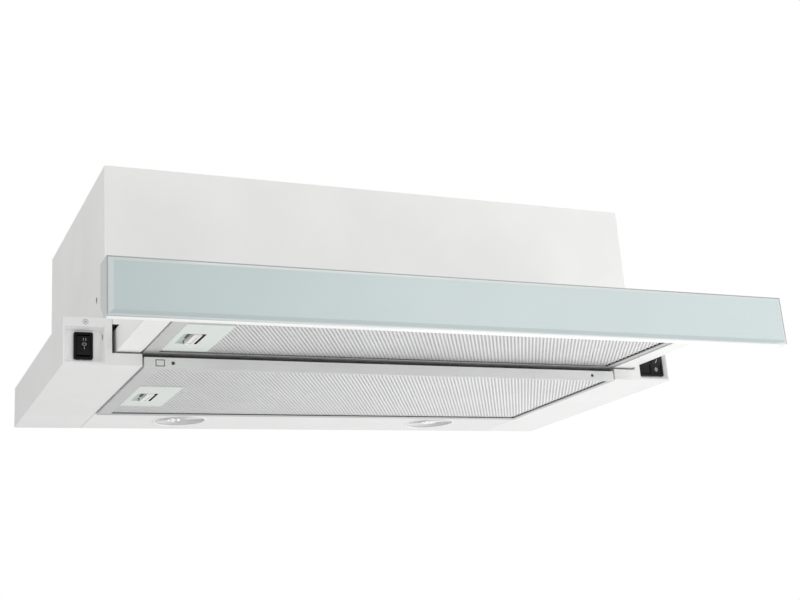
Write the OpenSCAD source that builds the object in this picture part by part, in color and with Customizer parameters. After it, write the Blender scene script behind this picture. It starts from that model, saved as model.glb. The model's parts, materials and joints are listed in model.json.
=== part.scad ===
// Pull-out range hood that fits under a kitchen wall cabinet: a sheet-steel
// casing with a centrifugal blower and a duct outlet, a low base with a moulded
// wing at each end, and a shallow drawer that slides out of the front with its
// own grease filter behind a glass panel. It is shown with the drawer pulled out.
//
// Sizes are in millimetres. Pieces are drawn in hood coordinates: x = 0 on the
// centre plane, y = 0 on the front face of the base, z = 0 on its underside.
// at_outlet() then moves each one so that the part's origin is the centre of the
// duct collar, where the collar leaves its flange.

/* [Base] */
// Width of the base and of the front panel
hood_w = 598; // [560:1:900]
// Depth of the base, from its front face to its back edge
base_d = 275; // [270:1:300]
// Height of the base
base_h = 40; // [39:0.5:50]
// Thickness of the painted steel sheet
sheet = 0.8; // [0.6:0.1:1.2]
// Depth of the strip with the lamps behind the lower filter
lamp_strip_d = 75.5; // [70:0.5:80]
// Width of each air opening in the base plate
air_open_w = 150; // [100:1:160]
// Distance of the air openings behind the base's front face
air_open_front = 30; // [28:1:40]
// Distance of the air openings in front of the lamp strip
air_open_back = 9.5; // [9:0.5:30]
// Height of the folded edge along the front of the base plate
front_fold_h = 5; // [3:0.5:6]

/* [Wings] */
// Width of the wing's full-height part
wing_face_w = 40; // [38:1:60]
// Width of the low lip beside the filters
lip_w = 25; // [20:1:40]
// Height of the lip
lip_h = 10.5; // [9:0.5:11]
// Wall thickness of the moulding
wing_wall = 2.5; // [1.5:0.1:3]
// Width of the switch pocket in the front face
pocket_w = 33; // [31:0.5:34]
// Height of the switch pocket
pocket_h = 30.5; // [29:0.5:33]
// Height of the pocket's lower edge above the underside
pocket_z = 1.8; // [1:0.1:3]
// Face left between the pocket and the outer side
pocket_margin = 1; // [0.6:0.1:3]
// Depth of the pocket
pocket_depth = 4; // [3:0.1:6]
// Width of the pocket's sloping border
pocket_bevel = 3; // [1:0.1:3.2]
// Width of the border between the right pocket and the drawer
twin_bevel = 1.2; // [0.5:0.1:1.3]

/* [Casing] */
// How far the base stands out past the casing on each side
casing_inset = 35; // [34:0.5:45]
// How far the base stands out behind the casing
casing_rear = 1; // [0.5:0.5:3]
// Height of the casing above the base
casing_h = 138; // [134:1:200]
// Distance of the casing behind the base's front face
casing_setback = 4; // [2:0.5:4.5]
// Bend radius of the casing's upright corners
casing_bend = 2; // [1.5:0.5:4]
// Width of the casing's inner flanges
casing_flange = 12; // [10:1:16]
// Diameter of the cabinet screw holes in the casing's sides
side_hole_d = 5.7; // [4:0.1:8]
// Height of the side holes above the base
side_hole_z = 26.5; // [20:0.5:60]
// Distance of the front side hole behind the casing's front
side_hole_y = 35.3; // [20:0.1:50]
// Distance between the two holes of a side
side_hole_pitch = 200; // [120:1:205]

/* [Outlet] */
// Outer radius of the duct collar
collar_r = 60; // [56:0.5:62]
// Height of the collar above its flange
collar_h = 23; // [18:1:25]
// Wall thickness of the collar
collar_wall = 2; // [1.5:0.1:3]
// Distance of the collar's centre behind the casing's front
collar_y = 135; // [125:1:140]
// Width of the collar's flange
collar_flange = 14; // [12:0.5:18]
// Thickness of the collar's flange
collar_flange_t = 2; // [1.5:0.1:3]
// Radius of the flap pin
flap_pin_r = 2; // [1.5:0.1:2.5]
// Thickness of a flap
flap_t = 1.2; // [1:0.1:1.6]

/* [Blower] */
// Outer radius of the impeller
drum_r = 46; // [40:0.5:46]
// Length of the impeller along its axis
drum_w = 86; // [70:1:90]
// Number of impeller blades
blade_count = 28; // [16:1:36]
// Radial depth of a blade
blade_d = 7; // [5:0.5:9]
// Thickness of a blade
blade_t = 1; // [0.8:0.1:1.4]
// Inside radius of the scroll where it starts
scroll_r0 = 50; // [49:0.5:52]
// Inside radius of the scroll where it ends
scroll_r1 = 70; // [66:0.5:72]
// Wall thickness of the scroll
scroll_wall = 1.6; // [1.2:0.1:2.5]
// Clearance between the impeller's ends and the scroll's side walls
drum_end_gap = 2; // [1.5:0.1:4]
// Radius of the motor shaft
shaft_r = 4; // [3:0.5:5]
// Radius of the motor
motor_r = 29; // [24:0.5:31]
// Length of the motor
motor_l = 52; // [44:1:60]

/* [Drawer] */
// Travel of the drawer
travel = 150; // [100:1:150]
// Height of the front panel
panel_h = 43; // [41:0.5:46]
// Height of the panel's lower edge, below the underside of the base
panel_drop = 6; // [4:0.5:8]
// Thickness of the glass
glass_t = 4; // [3:0.1:6]
// Width of the bevel round the glass
glass_bevel = 1; // [0.5:0.1:1.6]
// Depth of the hollow profile behind the glass
backing_d = 18; // [16:0.5:22]
// Depth of the flat under the hollow profile
backing_foot = 7.3; // [5:0.1:10]
// Wall thickness of the hollow profile
backing_wall = 1.4; // [1:0.1:2]
// Height of the drawer's side rails
rail_h = 20; // [19:0.5:20]
// Height of the rails' underside above the underside of the base
rail_z = 12; // [11.5:0.1:12]
// Wall thickness of the rails
rail_wall = 1.2; // [1:0.1:1.8]
// Room behind the drawer, when it is pushed home, for the stop switch
stop_room = 10; // [9:0.5:16]
// Width of a slide channel
channel_w = 12; // [11:0.5:14]
// Length of a glide
glide_l = 20; // [14:1:24]

/* [Filters] */
// Thickness of a filter
filter_t = 9.5; // [8.5:0.1:9.5]
// Distance of the lower filter's underside below the base
filter_drop = 1.5; // [0:0.1:2]
// Border at the filter's latch end
border_latch = 12.5; // [8:0.5:16]
// Border at the filter's hooked end
border_hook = 5; // [4:0.5:10]
// Border along the filter's front
border_front = 3; // [2:0.5:8]
// Border along the lower filter's back
border_back = 8.5; // [4:0.5:12]
// Depth of the drawer's filter
drawer_filter_d = 168; // [162:1:198]
// Border along the back of the drawer's filter
drawer_border_back = 18; // [8:0.5:18.5]
// Thickness of the filter's frame
frame_t = 1; // [0.8:0.1:1.2]
// Thickness of the perforated sheets
mesh_t = 0.6; // [0.4:0.1:0.8]
// Columns of openings in a perforated sheet
mesh_columns = 24; // [8:1:28]
// Rows of openings in a perforated sheet
mesh_rows = 10; // [4:1:10]
// Share of each cell that its opening takes
mesh_open = 0.55; // [0.3:0.01:0.6]
// Width of the latch plate
latch_w = 39.5; // [36:0.5:44]
// Depth of the latch plate
latch_d = 83; // [70:1:89]
// Distance of the lower latch plate behind the filter's front
latch_y_base = 70; // [55:1:80]
// Distance of the drawer's latch plate behind its filter's front
latch_y_drawer = 60; // [55:1:66]
// Width of the sliding tab's grip
tab_w = 7; // [5:0.5:8]
// Length of the sliding tab's grip
tab_l = 31; // [24:1:36]
// Travel of the sliding tab
tab_travel = 3.2; // [3:0.1:3.6]

/* [Switches] */
// Width of the speed switch's bezel
speed_w = 15.6; // [15:0.1:17]
// Height of the speed switch's bezel
speed_h = 23; // [22:0.1:23]
// Distance of the speed switch from the outer side
speed_x = 17; // [16:0.1:18]
// Width of the twin switch's bezel
twin_w = 28.4; // [28:0.1:29]
// Height of the twin switch's bezel
twin_h = 22.6; // [22:0.1:24]
// Distance of the twin switch from the outer side
twin_x = 18.5; // [18:0.1:19]
// Height of the switches' centre above the underside
switch_z = 16.4; // [16:0.1:17]
// How far the bezels stand out of the pocket's floor
bezel_t = 1.8; // [1.2:0.1:2.4]
// Angle from the middle to the pressed position
rocker_tilt = 10; // [6:0.5:10]

/* [Lamps] */
// Distance of each lamp from the lip beside it
lamp_from_lip = 92; // [60:1:130]
// Outer radius of the lamp's ring
lamp_r = 27.5; // [22:0.5:28]
// Width of the lamp's ring
lamp_ring = 2.5; // [2.2:0.1:5]
// Distance of the lamps behind the front edge of their panel
lamp_y = 31; // [30:0.5:34]
// Height of the lamp's body
lamp_body_h = 14; // [10:0.5:16]

/* [Clearances] */
// Gap between two pieces that rest by each other
seat_gap = 0.3; // [0.2:0.05:0.4]
// Gap at each end of a filter in the base
filter_gap = 1.5; // [1:0.1:2]
// Gap between the lower filter and the lamp strip
filter_back_gap = 1; // [0.6:0.1:1.5]
// Gap between the drawer's rails and the wings
rail_gap = 3.5; // [3:0.1:4.5]
// Radial clearance of a pin in its bore
pin_gap = 0.05; // [0.02:0.01:0.09]

/* [Hidden] */
$fn = 48;
// How far a cutting shape runs past the face that it cuts
past = 1;

// Planes across the width
open_x = hood_w / 2 - wing_face_w;
lip_x = open_x - lip_w;
filter_x = lip_x - filter_gap;
rail_in_x = lip_x + 0.8;
rail_out_x = open_x - rail_gap;
rail_mid_x = (rail_in_x + rail_out_x) / 2;
lamp_x = lip_x - lamp_from_lip;
casing_x = hood_w / 2 - casing_inset;
casing_w = 2 * casing_x;
plate_x = casing_x;

// Planes along the depth
casing_y0 = casing_setback;
casing_y1 = base_d - casing_rear;
casing_d = casing_y1 - casing_y0;
lamp_panel_y = base_d - lamp_strip_d;
filter_d = lamp_panel_y - filter_back_gap;
air_open_d = lamp_panel_y - air_open_back - air_open_front;
plate_y1 = base_d - sheet;
duct_y = casing_y0 + collar_y;
// Length of rail that stays in the base with the drawer pulled out
rail_hold = base_d - travel - stop_room;

// Planes up the height
wing_top_z = base_h - sheet;
casing_z1 = base_h + casing_h;
flange_z = casing_z1 + collar_flange_t;
rail_top_z = rail_z + rail_h;

// Colours
white = [0.93, 0.93, 0.92];
plastic = [0.90, 0.90, 0.89];
steel = [0.72, 0.73, 0.74];
alu = [0.76, 0.77, 0.76];
black = [0.08, 0.08, 0.09];
dark = [0.22, 0.23, 0.24];
ice = [0.76, 0.86, 0.87];
grey = [0.55, 0.57, 0.58];
red = [0.7, 0.1, 0.1];

// ---------------------------------------------------------------- helpers

// Moves a piece from hood coordinates to the part's own frame
module at_outlet() {
    translate([0, -duct_y, -flange_z]) children();
}

// A box from its low and high corners
module block(low, high) {
    translate(low) cube(high - low);
}

// Extrudes a (y, z) outline from x0 to x1
module along_x(x0, x1) {
    translate([x0, 0, 0]) rotate([90, 0, 90]) linear_extrude(x1 - x0) children();
}

// Extrudes an (x, z) outline from y0 to y1
module along_y(y0, y1) {
    translate([0, y1, 0]) rotate([90, 0, 0]) linear_extrude(y1 - y0) children();
}

// Extrudes an (x, y) outline from z0 to z1
module along_z(z0, z1) {
    translate([0, 0, z0]) linear_extrude(z1 - z0) children();
}

// A round bar or bore along x, centred on (y, z)
module rod_x(x0, x1, y, z, r) {
    translate([x0, y, z]) rotate([0, 90, 0]) cylinder(h = x1 - x0, r = r);
}

// A round bar or bore along y, centred on (x, z)
module rod_y(y0, y1, x, z, r) {
    translate([x, y0, z]) rotate([-90, 0, 0]) cylinder(h = y1 - y0, r = r);
}

// A round bar or bore along z, centred on (x, y)
module rod_z(z0, z1, x, y, r) {
    translate([x, y, z0]) cylinder(h = z1 - z0, r = r);
}

// A piece and its mirror image across the centre plane
module both_sides() {
    children();
    mirror([1, 0, 0]) children();
}

function unit(v) = v / norm(v);
function left_normal(a, b) = let (d = unit(b - a)) [-d[1], d[0]];

// The step from a corner of a path to the corner of the same path set to its left by 1
function mitre(n1, n2) = (n1 + n2) / (1 + n1 * n2);

// Outline of a folded sheet of thickness t that lies to the left of an open path
function folded(path, t) =
    let (last = len(path) - 1)
    concat(path, [
        for (i = [last : -1 : 0])
            let (before = left_normal(path[max(i - 1, 0)], path[max(i, 1)]),
                 after = left_normal(path[min(i, last - 1)], path[min(i + 1, last)]))
            path[i] + t * mitre(before, after)
    ]);

// A closed outline, given counter-clockwise, moved inwards by t
function inset(loop, t) =
    let (n = len(loop))
    [
        for (i = [0 : n - 1])
            let (before = left_normal(loop[(i + n - 1) % n], loop[i]),
                 after = left_normal(loop[i], loop[(i + 1) % n]))
            loop[i] + t * mitre(before, after)
    ];

// An open path with its inner corners rounded to radius r in four steps
function rounded_path(path, r) =
    let (last = len(path) - 1)
    [
        for (i = [0 : last])
            if (i == 0 || i == last)
                path[i]
            else
                let (u = unit(path[i - 1] - path[i]), v = unit(path[i + 1] - path[i]),
                     c = path[i] + r * (u + v))
                each [for (k = [0 : 4]) c - r * (cos(k * 22.5) * v + sin(k * 22.5) * u)]
    ];

// A plate with its four corners rounded
module rounded_plate(w, h, r) {
    square([w - 2 * r, h], center = true);
    square([w, h - 2 * r], center = true);
    for (sx = [-1, 1], sy = [-1, 1])
        translate([sx * (w / 2 - r), sy * (h / 2 - r)]) circle(r = r);
}

// A block that narrows along +y by a bevel at each side, with mitred corners: the
// space of a bevelled pocket, or a plate with bevelled edges. The side at x0 can
// have a bevel of its own.
module bevelled_block(x0, x1, z0, z1, y0, y1, bevel, bevel_x0) {
    over = 0.01;
    intersection() {
        along_z(z0 - past, z1 + past) polygon([
            [x0, y0 - over], [x1, y0 - over], [x1, y0], [x1 - bevel, y1], [x0 + bevel_x0, y1], [x0, y0]
        ]);
        along_x(x0 - past, x1 + past) polygon([
            [y0 - over, z0], [y0, z0], [y1, z0 + bevel], [y1, z1 - bevel], [y0, z1], [y0 - over, z1]
        ]);
    }
}

// A pan-head screw along -z, with the underside of its head at the origin
module screw(shank_r, shank_l, head_r, head_h) {
    translate([0, 0, -shank_l]) cylinder(h = shank_l + head_h / 2, r = shank_r);
    difference() {
        cylinder(h = head_h, r1 = head_r, r2 = head_r * 0.8);
        for (a = [0, 90])
            rotate(a) translate([-head_r / 2, -head_r / 8, head_h / 2]) cube([head_r, head_r / 4, head_h]);
    }
}

// ---------------------------------------------------------------- casing

screw_r = 1.9;
screw_hole_r = screw_r + 0.15;
screw_head_r = 3.6;
screw_head_h = 1.8;
screw_l = 6;

// Where the screws hold the casing down on the base plate: along its front, and
// at the back behind the slide channels
casing_foot_screws = [
    for (x = [-0.7, 0, 0.7]) [x * casing_x, casing_y0 + casing_flange / 2],
    for (s = [-1, 1])
        [s * (casing_x - casing_flange + screw_head_r), casing_y1 - sheet - casing_bend - screw_head_r]
];
// Where the screws hold the top on the casing's upper flanges
casing_top_screws = [
    for (s = [-1, 1], y = [0.07, 0.5, 0.93])
        [s * (casing_x - casing_flange / 2), casing_y0 + y * casing_d]
];
// Where the screws hold the back on the casing's rear flanges
casing_back_screws = [
    for (s = [-1, 1], z = [0.2, 0.8]) [s * (casing_x - casing_flange / 2), base_h + z * casing_h]
];

side_hole_places = [for (i = [0, 1]) casing_y0 + side_hole_y + i * side_hole_pitch];

// The front and both sides of the casing, folded from one sheet
module casing_shell() {
    back = casing_y1 - sheet;
    wrap = rounded_path([
        [-casing_x + casing_flange, back], [-casing_x, back], [-casing_x, casing_y0],
        [casing_x, casing_y0], [casing_x, back], [casing_x - casing_flange, back]
    ], casing_bend);
    at_outlet() color(white) difference() {
        union() {
            along_z(base_h, casing_z1 - sheet) polygon(folded(wrap, sheet));
            for (z = [base_h, casing_z1 - 2 * sheet]) {
                both_sides()
                    block([casing_x - casing_flange, casing_y0 + casing_bend, z],
                          [casing_x - sheet / 2, back - casing_bend, z + sheet]);
                block([-casing_x + casing_bend, casing_y0 + sheet / 2, z],
                      [casing_x - casing_bend, casing_y0 + casing_flange, z + sheet]);
            }
        }
        for (y = side_hole_places)
            rod_x(-casing_x - past, casing_x + past, y, base_h + side_hole_z, side_hole_d / 2);
        for (p = casing_foot_screws)
            rod_z(base_h - past, base_h + sheet + past, p[0], p[1], screw_hole_r);
        for (p = casing_top_screws)
            rod_z(casing_z1 - 2 * sheet - past, casing_z1 + past, p[0], p[1], screw_hole_r);
        for (p = casing_back_screws)
            rod_y(back - sheet - past, back + past, p[0], p[1], screw_hole_r);
    }
}

collar_screw_count = 4;
collar_screw_out = 1;
collar_screw_ring = collar_r + collar_flange / 2 + collar_screw_out;

// The collar's screw places round the outlet
function collar_screw(i) =
    let (a = i * 360 / collar_screw_count)
    [collar_screw_ring * cos(a), duct_y + collar_screw_ring * sin(a)];

// The flat top of the casing, with the outlet's hole
module casing_top() {
    at_outlet() color(white) difference() {
        along_z(casing_z1 - sheet, casing_z1) translate([0, (casing_y0 + casing_y1) / 2])
            rounded_plate(casing_w, casing_d, casing_bend);
        rod_z(casing_z1 - past - sheet, casing_z1 + past, 0, duct_y, collar_r - collar_wall);
        for (p = casing_top_screws)
            rod_z(casing_z1 - sheet - past, casing_z1 + past, p[0], p[1], screw_hole_r);
        for (i = [0 : collar_screw_count - 1])
            rod_z(casing_z1 - sheet - past, casing_z1 + past,
                  collar_screw(i)[0], collar_screw(i)[1], screw_hole_r);
    }
}

gland_from_side = 94;
gland_from_top = 42;
gland_x = -casing_x + gland_from_side;
gland_z = casing_z1 - gland_from_top;
gland_bore_r = 4;
gland_body_r = 8;
gland_gap = 0.1;
rib_pitch = 90;
rib_w = 10;
rib_h = 2;

// The back of the casing, with pressed stiffening ribs and the hole for the cable gland
module casing_back() {
    y0 = casing_y1 - sheet;
    edge = rib_w / 2;
    z0 = base_h + 2 * casing_flange;
    z1 = casing_z1 - 2 * casing_flange;
    at_outlet() color(white) difference() {
        union() {
            block([-casing_x + casing_bend, y0, base_h],
                  [casing_x - casing_bend, casing_y1, casing_z1 - sheet]);
            for (x = [-rib_pitch, 0, rib_pitch])
                along_z(z0, z1) translate([x, 0]) polygon([
                    [-edge, y0 + sheet / 2], [-edge + rib_h, y0 - rib_h],
                    [edge - rib_h, y0 - rib_h], [edge, y0 + sheet / 2]
                ]);
        }
        for (x = [-rib_pitch, 0, rib_pitch])
            along_z(z0 + sheet, z1 - sheet) translate([x, 0]) polygon([
                [-edge + sheet, casing_y1 + past], [-edge + sheet, casing_y1 - sheet / 2],
                [-edge + rib_h + sheet / 2, y0 - rib_h + sheet],
                [edge - rib_h - sheet / 2, y0 - rib_h + sheet],
                [edge - sheet, casing_y1 - sheet / 2], [edge - sheet, casing_y1 + past]
            ]);
        rod_y(y0 - past, casing_y1 + past, gland_x, gland_z, gland_body_r + gland_gap);
        for (p = casing_back_screws)
            rod_y(y0 - past, casing_y1 + past, p[0], p[1], screw_hole_r);
    }
}

// All screws that hold the casing and the collar
module casing_screws() {
    at_outlet() color(steel) {
        for (p = casing_foot_screws)
            translate([p[0], p[1], base_h + sheet]) screw(screw_r, screw_l, screw_head_r, screw_head_h);
        for (p = casing_top_screws)
            translate([p[0], p[1], casing_z1]) screw(screw_r, screw_l, screw_head_r, screw_head_h);
        for (p = casing_back_screws)
            translate([p[0], casing_y1, p[1]]) rotate([-90, 0, 0])
                screw(screw_r, screw_l, screw_head_r, screw_head_h);
        for (i = [0 : collar_screw_count - 1])
            translate([collar_screw(i)[0], collar_screw(i)[1], flange_z])
                screw(screw_r, screw_l + collar_flange_t, screw_head_r, screw_head_h);
    }
}

// ---------------------------------------------------------------- base

air_open_x = 70;
side_fold_h = 15;
side_fold_front = 8;
side_fold_back = 12;

// The flat top of the base: it lies on the wings, carries the casing and the
// slide channels, and lets the air up on both sides of the blower
module base_plate() {
    at_outlet() color(white) difference() {
        union() {
            block([-plate_x, 0, wing_top_z], [plate_x, plate_y1, base_h]);
            block([-open_x + seat_gap, 0, base_h - front_fold_h],
                  [open_x - seat_gap, sheet, base_h - sheet / 2]);
            both_sides()
                block([open_x - seat_gap - sheet, side_fold_front, base_h - side_fold_h],
                      [open_x - seat_gap, plate_y1 - side_fold_back, base_h - sheet / 2]);
        }
        both_sides()
            block([air_open_x, air_open_front, wing_top_z - past],
                  [air_open_x + air_open_w, air_open_front + air_open_d, base_h + past]);
        for (p = concat(casing_foot_screws, scroll_foot_screws))
            rod_z(wing_top_z - past, base_h + past, p[0], p[1], screw_hole_r);
    }
}

lamp_fold_h = 11;
lamp_fold_lip = 3;
lamp_flange_w = 12;

// The white strip behind the lower filter, folded up at its front and back
module lamp_panel() {
    side = lip_x - 0.4;
    top = wing_top_z;
    path = [
        [lamp_panel_y + lamp_fold_lip, lamp_fold_h], [lamp_panel_y, lamp_fold_h], [lamp_panel_y, 0],
        [base_d, 0], [base_d, top], [base_d - sheet - lamp_flange_w, top]
    ];
    at_outlet() color(white) difference() {
        along_x(-side, side) polygon(folded(path, sheet));
        both_sides()
            rod_z(-past, sheet + past, lamp_x, lamp_panel_y + lamp_y, lamp_r - lamp_sleeve_in + seat_gap);
    }
}

// (x, z) outline of the right wing, with the rebate that the base plate lies in
wing_outline = [
    [lip_x, 0], [hood_w / 2, 0], [hood_w / 2, base_h],
    [plate_x + seat_gap, base_h], [plate_x + seat_gap, wing_top_z],
    [open_x, wing_top_z], [open_x, lip_h], [lip_x, lip_h]
];

// A wing as it is on the right: a hollow moulding, open at the back, with a
// bevelled pocket in its front for a switch. The pocket's inner border can be
// steeper than the others, for a wide switch.
module wing(switch_x, switch_w, switch_h, inner_bevel) {
    floor_y = pocket_depth + wing_wall;
    x1 = hood_w / 2 - pocket_margin;
    x0 = x1 - pocket_w;
    switch_mid = hood_w / 2 - switch_x;
    hole_x = switch_w / 2 - bezel_rim + switch_fit;
    hole_z = switch_h / 2 - bezel_rim + switch_fit;
    difference() {
        along_y(0, base_d) polygon(wing_outline);
        difference() {
            along_y(wing_wall, base_d + past) polygon(inset(wing_outline, wing_wall));
            block([x0 - wing_wall, 0, 0], [hood_w / 2, floor_y, base_h]);
        }
        bevelled_block(x0, x1, pocket_z, pocket_z + pocket_h, 0, pocket_depth, pocket_bevel, inner_bevel);
        block([switch_mid - hole_x, 0, switch_z - hole_z],
              [switch_mid + hole_x, floor_y + past, switch_z + hole_z]);
    }
}

// The slot that a filter's sliding tongue locks into, in a wall on the left that
// ends at x
module tongue_slot(x, wall, tab_y, filter_z) {
    z0 = filter_z + tongue_rise;
    block([x - wall - past, tab_y - tongue_w / 2 - seat_gap, z0 - seat_gap],
          [x + past, tab_y + tongue_w / 2 + seat_gap, z0 + tongue_t + seat_gap]);
}

pry_slot_w = 0.9;
pry_slot_l = 4.5;
pry_slot_d = 2;
pry_slot_drop = 3;

// The left wing, with the slot for the lower filter's latch, and in its pocket
// the narrow slot from which the switch is pried out
module left_wing() {
    x = -hood_w / 2 + pocket_margin + pocket_w - pocket_bevel / 2;
    z1 = pocket_z + pocket_h - pocket_bevel - pry_slot_drop;
    at_outlet() color(plastic) difference() {
        mirror([1, 0, 0]) wing(speed_x, speed_w, speed_h, pocket_bevel);
        tongue_slot(-lip_x, wing_wall, base_tab_y, base_filter_z);
        block([x - pry_slot_w / 2, 0, z1 - pry_slot_l],
              [x + pry_slot_w / 2, pocket_depth / 2 + pry_slot_d, z1]);
    }
}

// The right wing, with the slots for the lower filter's hooks
module right_wing() {
    at_outlet() color(plastic) difference() {
        wing(twin_x, twin_w, twin_h, twin_bevel);
        hook_slots(lip_x, wing_wall, base_filter_y, base_filter_z, filter_d);
    }
}

channel_wall = 0.8;
channel_slot = 5.8;
channel_gap = 0.4;

// The steel C-channel under the base plate that the drawer's glides run in
module slide_channel() {
    x = rail_mid_x;
    z0 = rail_top_z + channel_gap;
    h = channel_w / 2;
    path = [
        [x + channel_slot / 2, z0], [x + h, z0], [x + h, wing_top_z],
        [x - h, wing_top_z], [x - h, z0], [x - channel_slot / 2, z0]
    ];
    along_y(sheet + seat_gap, plate_y1 - lamp_flange_w - seat_gap) polygon(folded(path, channel_wall));
}

module left_slide_channel() { at_outlet() color(steel) mirror([1, 0, 0]) slide_channel(); }
module right_slide_channel() { at_outlet() color(steel) slide_channel(); }

// ---------------------------------------------------------------- lamps

lens_t = 1.6;
lens_crown = 0.6;
lens_z = 0.6;
lens_gap = 0.2;
lamp_sleeve_h = 7;
lamp_sleeve_t = 0.9;
lamp_sleeve_in = 0.8;
lamp_ring_drop = 0.7;
lamp_ring_edge = 0.6;
cup_depth = 5;
cup_rim = 3;

module at_lamp(side) {
    translate([side * lamp_x, lamp_panel_y + lamp_y, 0]) children();
}

// The white ring that carries the lens and snaps into the panel
module lamp_ring(side) {
    inner = lamp_r - lamp_ring;
    sleeve = lamp_r - lamp_sleeve_in;
    at_lamp(side) rotate_extrude() polygon([
        [inner, 0], [inner + lamp_ring_edge, -lamp_ring_drop],
        [lamp_r - lamp_ring_edge, -lamp_ring_drop], [lamp_r, 0],
        [sleeve, 0], [sleeve, lamp_sleeve_h], [sleeve - lamp_sleeve_t, lamp_sleeve_h],
        [sleeve - lamp_sleeve_t, lens_z], [inner, lens_z]
    ]);
}

lens_r = lamp_r - lamp_sleeve_in - lamp_sleeve_t - lens_gap;

// The round glass, which lies on the ring's inner edge
module lamp_lens(side) {
    at_lamp(side) translate([0, 0, lens_z]) rotate_extrude() polygon([
        [0, 0], [lens_r, 0], [lens_r, lens_t], [lens_r - cup_rim, lens_t], [0, lens_t + lens_crown]
    ]);
}

// The lamp's housing with its reflector cup, pushed into the ring's sleeve
module lamp_body(side) {
    z0 = lens_z + lens_t + lens_crown + seat_gap;
    at_lamp(side) translate([0, 0, z0]) rotate_extrude() polygon([
        [cup_rim, cup_depth], [lens_r - cup_rim, 0], [lens_r, 0], [lens_r, lamp_body_h * 0.6],
        [lens_r * 0.8, lamp_body_h], [0, lamp_body_h], [0, cup_depth]
    ]);
}

module left_lamp_ring() { at_outlet() color(plastic) lamp_ring(-1); }
module right_lamp_ring() { at_outlet() color(plastic) lamp_ring(1); }
module left_lamp_lens() { at_outlet() color(grey) lamp_lens(-1); }
module right_lamp_lens() { at_outlet() color(grey) lamp_lens(1); }
module left_lamp_body() { at_outlet() color(steel) lamp_body(-1); }
module right_lamp_body() { at_outlet() color(steel) lamp_body(1); }

// ---------------------------------------------------------------- outlet

flap_rise = 4;
flap_z = flange_z + flap_rise;
flap_edge_gap = 0.8;
flap_r = collar_r - collar_wall - flap_edge_gap;
barrel_wall = 1.4;
barrel_r = flap_pin_r + barrel_wall;
barrel_l = 16;
barrel_places = [for (y = [-46, -22, 6, 30]) [y, y + barrel_l]];
boss_l = 5;
boss_w = 9;
boss_low = 5.5;
boss_high = 3.5;
ledge_w = 2.5;
ledge_h = 3;
lip_round = 1;
pin_in = 0.6;

// The moulded duct collar: flange, tube, the ledge that the flaps close on and
// the two bosses that hold their pin
module outlet_collar() {
    inner = collar_r - collar_wall;
    ledge_z = flap_z - flap_t / 2 - seat_gap;
    at_outlet() color(dark) difference() {
        union() {
            translate([0, duct_y, 0]) rotate_extrude() polygon([
                [inner, casing_z1], [collar_r + collar_flange, casing_z1],
                [collar_r + collar_flange, flange_z],
                [collar_r, flange_z], [collar_r, flange_z + collar_h - lip_round],
                [collar_r - lip_round * 0.8, flange_z + collar_h], [inner, flange_z + collar_h],
                [inner, ledge_z], [inner - ledge_w, ledge_z], [inner, ledge_z - ledge_h]
            ]);
            for (s = [0, 1])
                translate([0, duct_y, 0]) mirror([0, s, 0])
                    block([-boss_w / 2, inner - boss_l, flap_z - boss_low],
                          [boss_w / 2, inner + collar_wall / 2, flap_z + boss_high]);
        }
        rod_y(duct_y - inner - pin_in, duct_y + inner + pin_in, 0, flap_z, flap_pin_r + pin_gap);
        for (i = [0 : collar_screw_count - 1])
            rod_z(casing_z1 - past, flange_z + past, collar_screw(i)[0], collar_screw(i)[1], screw_hole_r);
    }
}

// The pin across the collar that both flaps turn on
module flap_pin() {
    reach = collar_r - collar_wall + pin_in - 0.2;
    at_outlet() color(steel) rod_y(duct_y - reach, duct_y + reach, 0, flap_z, flap_pin_r);
}

// A half-round flap on the +x side, with every second barrel of the hinge
module flap(first) {
    keep = [for (i = [0 : 1]) barrel_places[first + 2 * i]];
    reach = collar_r - collar_wall - boss_l - 2;
    edge = barrel_r + seat_gap;
    z0 = flap_z - flap_t / 2;
    z1 = flap_z + flap_t / 2;
    difference() {
        union() {
            intersection() {
                rod_z(z0, z1, 0, duct_y, flap_r);
                union() {
                    block([edge, duct_y - reach, z0 - past], [collar_r, duct_y + reach, z1 + past]);
                    block([norm([boss_w / 2, boss_high]) + seat_gap, duct_y - collar_r, z0 - past],
                          [collar_r, duct_y + collar_r, z1 + past]);
                }
            }
            for (b = keep) {
                rod_y(duct_y + b[0], duct_y + b[1], 0, flap_z, barrel_r);
                block([0, duct_y + b[0], z0], [edge + past, duct_y + b[1], z1]);
            }
        }
        for (b = keep)
            rod_y(duct_y + b[0] - past, duct_y + b[1] + past, 0, flap_z, flap_pin_r + pin_gap);
    }
}

module left_flap() { at_outlet() color(grey) mirror([1, 0, 0]) flap(0); }
module right_flap() { at_outlet() color(grey) flap(1); }

// ---------------------------------------------------------------- blower

scroll_from = 110;
scroll_in_x = drum_w / 2 + drum_end_gap;
scroll_out_x = scroll_in_x + scroll_wall;
foot_lift = 2;
axis_z = base_h + foot_lift + scroll_wall + scroll_radius(270);
axis_y = duct_y - (scroll_r1 + scroll_r0 * cos(scroll_from)) / 2;
inlet_r = drum_r - blade_d;
neck_top = casing_z1 - sheet - seat_gap;
foot_w = 12;
foot_t = 1.6;
foot_pitch = 76;
inlet_clear = 2;
cover_gap = 0.1;
neck_rim = 6;
foot_y = [axis_y - foot_pitch / 2, axis_y + foot_pitch / 2];
inlet_roll = 4.5;
inlet_rise = 2;
scroll_foot_screws = [for (s = [-1, 1], y = foot_y) [s * (scroll_out_x + foot_w / 2), y]];

// The scroll's inside radius, which grows evenly with the angle
function scroll_radius(a) =
    scroll_r0 + (scroll_r1 - scroll_r0) * (a - scroll_from) / (360 - scroll_from);

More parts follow.
